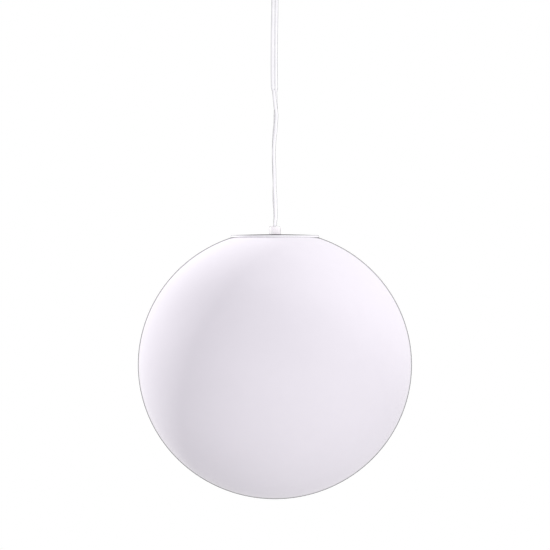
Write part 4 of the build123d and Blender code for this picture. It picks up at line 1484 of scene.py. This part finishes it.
# ---------------------------------------------------------------- the lampholder
@dataclass
class Lampholder:
    """Fluted cap and body, ceramic insert and the threaded contact."""

    neck_radius: float = 8.5
    nut_end: float = -318.9
    shoulder: float = -326.9
    rim: float = -338.9
    radius: float = 19.5
    cap_end: float = -350.4
    body_end: float = -382.4
    mouth_radius: float = 18.2
    socket_radius: float = 14.3
    bore: float = 4.9
    flutes: int = 24
    flutes_at: tuple[Pair, Pair] = ((-341.2, -348.4), (-354.0, -364.4))   # cap's, body's
    flute_half: float = 4.0        # degrees
    flute_depth: float = 0.45
    pitch: float = 3.629
    contact_top: float = -357.9
    contact_end: float = -379.9
    contact_radius: float = 14.2
    core_line: tuple[Triple, ...] = (
        (0.0, 1.85, -307.6), (0.0, 1.85, -320.0), (0.0, 1.85, -329.9), (0.0, 1.85, -331.4),
        (0.0, 6.625, -334.75), (0.0, 11.4, -338.1), (0.0, 11.4, -340.1), (0.0, 11.4, -348.2))

    def fluted(self, piece: Piece, high: float, low: float, radius: float) -> Piece:
        """Press flutes into a turned piece between two heights.

        Args:
            piece: the piece, with five flats to a flute.
            high: top of the flutes, millimetres.
            low: their lower end.
            radius: what lies further out than this is pressed.

        Returns:
            The piece.
        """
        Bench.edit(piece)
        spacing = 360.0 / self.flutes

        def in_flute(place: Vector) -> bool:
            """The middle columns of each flute."""
            turn = (math.degrees(math.atan2(place.y, place.x)) + spacing / 2) % spacing
            return (low * MM - NEAR < place.z < high * MM + NEAR
                    and math.hypot(place.x, place.y) > radius * MM
                    and abs(turn - spacing / 2) < self.flute_half)

        Bench.pick(in_flute)
        share = 1 - self.flute_depth / self.radius
        bpy.ops.transform.resize(value=(share, share, 1.0), center_override=(0.0, 0.0, low * MM))
        return Bench.done(piece.name)

    def cap(self) -> Piece:
        """The upper half: neck, domed shoulder and fluted skirt.

        Returns:
            The upper half.
        """
        r, start, low, bore = self.radius, self.nut_end, self.cap_end, self.bore
        flute_top, flute_end = self.flutes_at[0]
        bulge = [(8.5, self.shoulder), (12.4, self.shoulder - 1.6), (15.4, self.shoulder - 3.8),
                 (17.8, self.shoulder - 6.6), (19.0, self.shoulder - 9.2), (19.5, self.rim)]
        outline = [(bore, start), (self.neck_radius - 0.4, start),
                   (self.neck_radius, start - 0.4), *bulge, (r, -340.6), (r, flute_top),
                   (r, flute_end), (r, -349.0), (r, low + 0.4), (r - 0.4, low), (r - 2.0, low),
                   (r - 2.0, -341.0), (15.4, -334.5), (10.5, -330.6), (bore, -330.4),
                   (bore, start)]
        cap = Bench.turned("holder_upper", outline, self.flutes * 5)
        cap = self.fluted(cap, flute_top, flute_end, r - 0.5)
        return Bench.rounded(cap, 0.2, 48.0, 35.0)

    def body(self) -> Piece:
        """The lower half: a taper with a fluted band and a rounded mouth.

        Returns:
            The lower half.
        """
        r, mouth, low = self.radius, self.mouth_radius, self.body_end
        flute_top, flute_end = self.flutes_at[1]
        outline = [(15.3, self.cap_end + 5.8), (17.2, self.cap_end + 5.8), (17.3, self.cap_end),
                   (r - 0.35, self.cap_end), (r, self.cap_end - 0.35), (r - 0.15, -353.4),
                   (r - 0.15, flute_top), (r - 0.6, flute_end), (r - 0.65, -365.0),
                   (mouth + 0.1, low + 2.2), *arc((mouth - 1.2, low + 1.2), 1.2, 0.0, -90.0, 5),
                   *arc((self.socket_radius + 0.8, low + 0.8), 0.8, -90.0, -180.0, 4),
                   (self.socket_radius + 0.05, -357.3), (15.3, -357.3), (15.3, self.cap_end + 5.8)]
        body = Bench.turned("holder_lower", outline, self.flutes * 5)
        body = self.fluted(body, flute_top, flute_end, mouth)
        return Bench.rounded(body, 0.15, 48.0, 35.0)

    def contact(self) -> Piece:
        """The rolled shell contact: a shoulder above and a thread pressed out.

        Returns:
            The contact.
        """
        return rolled_shell("holder_shell_contact", self.contact_radius - 0.35, 0.3, self.pitch,
                            self.contact_top - 1.0, self.contact_end + 0.6, 0.35, -1.0,
                            top=[(self.contact_radius - 3.6, self.contact_top),
                                 (self.contact_radius - 0.9, self.contact_top),
                                 (self.contact_radius - 0.35, self.contact_top - 0.5)],
                            end=[(self.contact_radius - 0.25, self.contact_end)])

    def build(self, frame: dict) -> None:
        """Model the lampholder and hang it on the lamp.
        """
        hang(self.cap(), Body.LAMP, Finishes.holder, "lampholder_cap")
        hang(self.body(), Body.LAMP, Finishes.holder, "lampholder_body")
        hang(self.contact(), Body.LAMP, Finishes.nickel, "lampholder_shell_contact")
        coat(frame, Finishes.ceramic, "lampholder_insert")
        coat(frame, Finishes.nickel, "lampholder_centre_contact")
        coat(frame, Finishes.brass, "lampholder_terminal_screws")
        cores = core_pair("lamp_cores", self.core_line, (1.0, -1.0, 1.0))
        hang(cores, Body.LAMP, Finishes.flex, "lamp_flex_cores")


def rolled_shell(name: str, radius: float, depth: float, pitch: float, top_z: float, end_z: float,
                 wall: float, offset: float, top: Outline, end: Outline, steps: int = 72
                 ) -> Piece:
    """A thin tube with a rolled round thread that fades out at both ends.

    Args:
        name: the piece's name.
        radius: middle radius of the thread, millimetres.
        depth: half the thread's height.
        pitch: of the thread.
        top_z: where the thread starts.
        end_z: where it ends.
        wall: thickness of the metal.
        offset: 1 grows the wall outwards and -1 inwards.
        top: stations above the thread, from the top down.
        end: stations below it.
        steps: flats round the axis.

    Returns:
        The shell, smoothed.
    """
    rows = max(8, round((top_z - end_z) / (pitch / 14)))
    threaded = []
    for z in (top_z + (end_z - top_z) * i / rows for i in range(rows + 1)):
        fade = max(0.0, min(1.0, (top_z - z) / (0.7 * pitch), (z - end_z) / (0.7 * pitch))) ** 0.8
        threaded.append([(radius + depth * fade * math.sin(2 * math.pi * (z / pitch - i / steps)),
                          z) for i in range(steps)])
    plain_top, plain_end = ([[station] * steps for station in part] for part in (top, end))
    turns = [2 * math.pi * i / steps for i in range(steps)]
    rings = [[(r * MM * math.cos(turn), r * MM * math.sin(turn), z * MM)
              for turn, (r, z) in zip(turns, ring)] for ring in plain_top + threaded + plain_end]
    shell = Bench.loft(name, rings, capped=False)
    Bench.modify(shell, "SOLIDIFY", thickness=wall * MM, offset=offset)
    return Bench.smooth(shell, 50.0)


# ---------------------------------------------------------------- the bulb
@dataclass
class Bulb:
    """Screw-in bulb: threaded shell, flared housing, board of lamps and frosted dome."""

    top: float = -359.4
    insulator_top: float = -360.7
    shell_top: float = -364.6
    shell_radius: float = 13.1
    shell_end: float = -384.4
    pitch: float = 3.629
    collar_radius: float = 14.2
    housing_end: float = -421.8
    housing_radius: float = 24.3
    dome_radius: float = 30.0
    dome_centre: float = -439.4
    dome_wall: float = 1.2

    def tip(self) -> Piece:
        """The centre contact: a low solder drop.

        Returns:
            The contact.
        """
        outline = [(0.0, self.top - 1.0), (4.3, self.top - 1.0), (4.5, self.top - 0.8),
                   (4.1, self.top - 0.45), (3.0, self.top - 0.15), (1.4, self.top - 0.02),
                   (0.0, self.top)]
        return Bench.smooth(Bench.turned("bulb_centre_contact", outline, 40), 60.0)

    def insulator(self) -> Piece:
        """The dark cone between the tip and the shell.

        Returns:
            The cone.
        """
        z = self.insulator_top
        outline = [(0.0, z), (4.9, z), (5.2, z - 0.3), (6.3, z - 0.8), (9.2, z - 2.1),
                   (11.6, z - 2.9), (12.2, z - 3.2), (12.2, z - 3.9), (0.0, z - 3.9)]
        return Bench.smooth(Bench.turned("bulb_glass_insulator", outline, 64), 35.0)

    def shell(self) -> Piece:
        """The rolled screw shell.

        Returns:
            The shell.
        """
        r, top, end = self.shell_radius, self.shell_top, self.shell_end
        return rolled_shell("bulb_screw_cap", r - 0.42, 0.4, self.pitch, top - 1.0, end + 1.6, 0.3,
                            -1.0, top=[(12.25, top + 0.7), (12.4, top), (12.6, top - 0.5)],
                            end=[(r - 0.1, end + 1.0), (r - 0.05, end)])

    def housing(self) -> Piece:
        """The flared housing, with its collar and the step that the dome sits in.

        Returns:
            The housing.
        """
        top, low, r = self.shell_end, self.housing_end, self.housing_radius
        curve = [(self.collar_radius, top), (self.collar_radius, top - 1.4),
                 (15.0, -388.5), (16.1, -393.5), (17.4, -398.7), (18.9, -404.2), (20.6, -410.0),
                 (22.3, -415.6), (23.7, -420.2), (24.15, -421.4), (24.1, low)]
        outline = [*curve, (22.5, low), (21.6, -417.6), (18.2, -406.8), (15.9, -399.0),
                   (14.2, -391.5), (12.4, -385.6), (10.9, -383.6), (10.9, -365.2),
                   (12.4, -365.2), (12.4, top), (self.collar_radius - 0.3, top),
                   (self.collar_radius, top)]
        housing = Bench.turned("bulb_flared_housing", outline, 120)
        return Bench.rounded(housing, 0.3, 40.0, 35.0)

    def dome(self) -> Piece:
        """The frosted dome, round below and open at the housing.

        Returns:
            The dome.
        """
        dome = Bench.ball("bulb_frosted_dome", self.dome_radius, self.dome_radius,
                          self.dome_centre, self.housing_end - 0.15, 0.0, self.dome_wall, 96)
        return Bench.smooth(dome, 50.0)

    def build(self, frame: dict) -> None:
        """Model the bulb and hang it on its two bodies.
        """
        hang(self.tip(), Body.BULB_TRAVEL, Finishes.solder, "bulb_tip_contact")
        hang(self.insulator(), Body.BULB, Finishes.glass, "bulb_insulator")
        hang(self.shell(), Body.BULB, Finishes.nickel, "bulb_screw_shell")
        hang(self.housing(), Body.BULB, Finishes.shade, "bulb_housing")
        hang(self.dome(), Body.BULB, Finishes.frosted, "bulb_diffuser")
        coat(frame, Finishes.phosphor, "bulb_led_chips")
        coat(frame, Finishes.laminate, "bulb_driver_board")
        coat(frame, Finishes.black, "bulb_driver_parts")
        coat(frame, Finishes.board, "bulb_led_board")


# ---------------------------------------------------------------- the globe
@dataclass
class Globe:
    """The opal globe: a ball a little lower than wide, cut flat, with a turned-in lip."""

    radius: float = 150.0
    half_height: float = 147.06
    centre: float = -454.96
    cut: float = -315.7
    lip: float = 5.2
    wall: float = 3.0

    def build(self) -> None:
        """Model the globe and hang it on its own body, which pulls off the clips."""
        globe = Bench.ball("opal_globe", self.radius, self.half_height, self.centre, self.cut,
                           self.lip, self.wall, 160)
        hang(Bench.rounded(globe, 0.25, 35.0, 40.0), Body.GLOBE, Finishes.opal, "globe")


# ---------------------------------------------------------------- the studio
@dataclass(frozen=True)
class Lamp:
    """A soft lamp far from the light."""

    name: str
    azimuth: float      # degrees from the camera's side, to the right
    elevation: float
    strength: float
    spread: float       # degrees that it fills
    aim: Triple = (0.0, 0.0, -0.455)
    distance: float = 3.0

    def set_up(self) -> None:
        """Hang the lamp and aim it at the globe."""
        data = bpy.data.lights.new(self.name, "SUN")
        data.energy = self.strength
        data.angle = math.radians(self.spread)
        lamp = linked(self.name, data)
        lamp.visible_glossy = False
        turn, rise = math.radians(self.azimuth), math.radians(self.elevation)
        out = Vector((math.sin(turn) * math.cos(rise), -math.cos(turn) * math.cos(rise),
                      math.sin(rise)))
        lamp.location = Vector(self.aim) + out * self.distance
        lamp.rotation_euler = out.to_track_quat("Z", "Y").to_euler()


@dataclass
class Studio:
    """Camera, lamps, white surroundings and floor."""

    camera_place: Triple = (0.0001, -4.0, -0.3567)
    lens: float = 238.9
    sensor: float = 36.0
    ambient: float = 0.79
    ambient_colour: Colour = (0.964, 0.956, 1.0)
    floor_z: float = -1.6
    floor_radius: float = 2.2
    floor_fade: Pair = (1.0, 2.1)      # distances from its middle
    floor_colour: Colour = (0.70, 0.70, 0.70)
    floor_glow: float = 0.75           # share of plain white where it is seen
    lamps: tuple[Lamp, ...] = field(default_factory=lambda: (
        Lamp("rim_lamp", -128.0, 20.0, 2.4, 5.0),
        Lamp("fill_lamp", 37.4, -18.9, 1.1, 60.0),
        Lamp("top_lamp", 131.6, 60.1, 1.42, 30.0)))

    def camera(self) -> None:
        """The photograph's camera: far off, level, its middle on the light's axis."""
        data = bpy.data.cameras.new("studio_camera")
        data.lens, data.sensor_width = self.lens, self.sensor
        camera = linked("studio_camera", data)
        camera.location = self.camera_place
        camera.rotation_euler = (math.radians(90), 0.0, 0.0)
        bpy.context.scene.camera = camera

    def world(self) -> None:
        """White for the camera and for reflections, a plain level for the rest."""
        world = bpy.data.worlds.new("studio_world")
        world.use_nodes = True
        bpy.context.scene.world = world
        graph = Graph(world.node_tree)
        dim, white = (
            graph.node("ShaderNodeBackground", inputs={"Color": (*colour, 1.0), "Strength": level})
            for colour, level in ((self.ambient_colour, self.ambient), ((1.0, 1.0, 1.0), 1.0)))
        mixed = graph.blend(graph.seen(), dim, white)
        graph.node("ShaderNodeOutputWorld", inputs={"Surface": mixed.outputs[0]})

    def floor(self) -> None:
        """A white floor well below the globe, with its shadow, fading out towards its rim."""
        Bench.clear()
        bpy.ops.mesh.primitive_circle_add(vertices=96, radius=self.floor_radius, fill_type="NGON",
                                          location=(0.0, 0.0, self.floor_z))
        Bench.edit()
        floor = Bench.done("studio_floor")
        graph = MaterialGraph("studio_floor")
        graph.dress(base_color=linear(self.floor_colour), roughness=0.8)
        glow = graph.node("ShaderNodeEmission", inputs={"Strength": 1.0})
        lit = graph.blend(graph.seen() * self.floor_glow, graph.shader, glow)
        clear = graph.node("ShaderNodeBsdfTransparent")
        faded = graph.blend(graph.radius().step(*self.floor_fade), lit, clear)
        graph.surface(faded.outputs[0])
        floor.data.materials.append(graph.material)

    def build(self) -> None:
        """Set the studio up."""
        self.camera()
        self.world()
        self.floor()
        for lamp in self.lamps:
            lamp.set_up()
        bpy.context.scene.view_settings.view_transform = "Standard"
        log.info("studio with %d lamps", len(self.lamps))


def main() -> None:
    """Build the light round its frame, in the studio."""
    logging.basicConfig(level=logging.INFO, format="%(name)s: %(message)s")
    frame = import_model()
    Studio().build()
    HangingFlex().build()
    CeilingFitting().build(frame)
    LampTop().build(frame)
    ClipGallery().build()
    Lampholder().build(frame)
    Bulb().build(frame)
    Globe().build()
    Bench.clear()


if __name__ == "__main__":
    main()
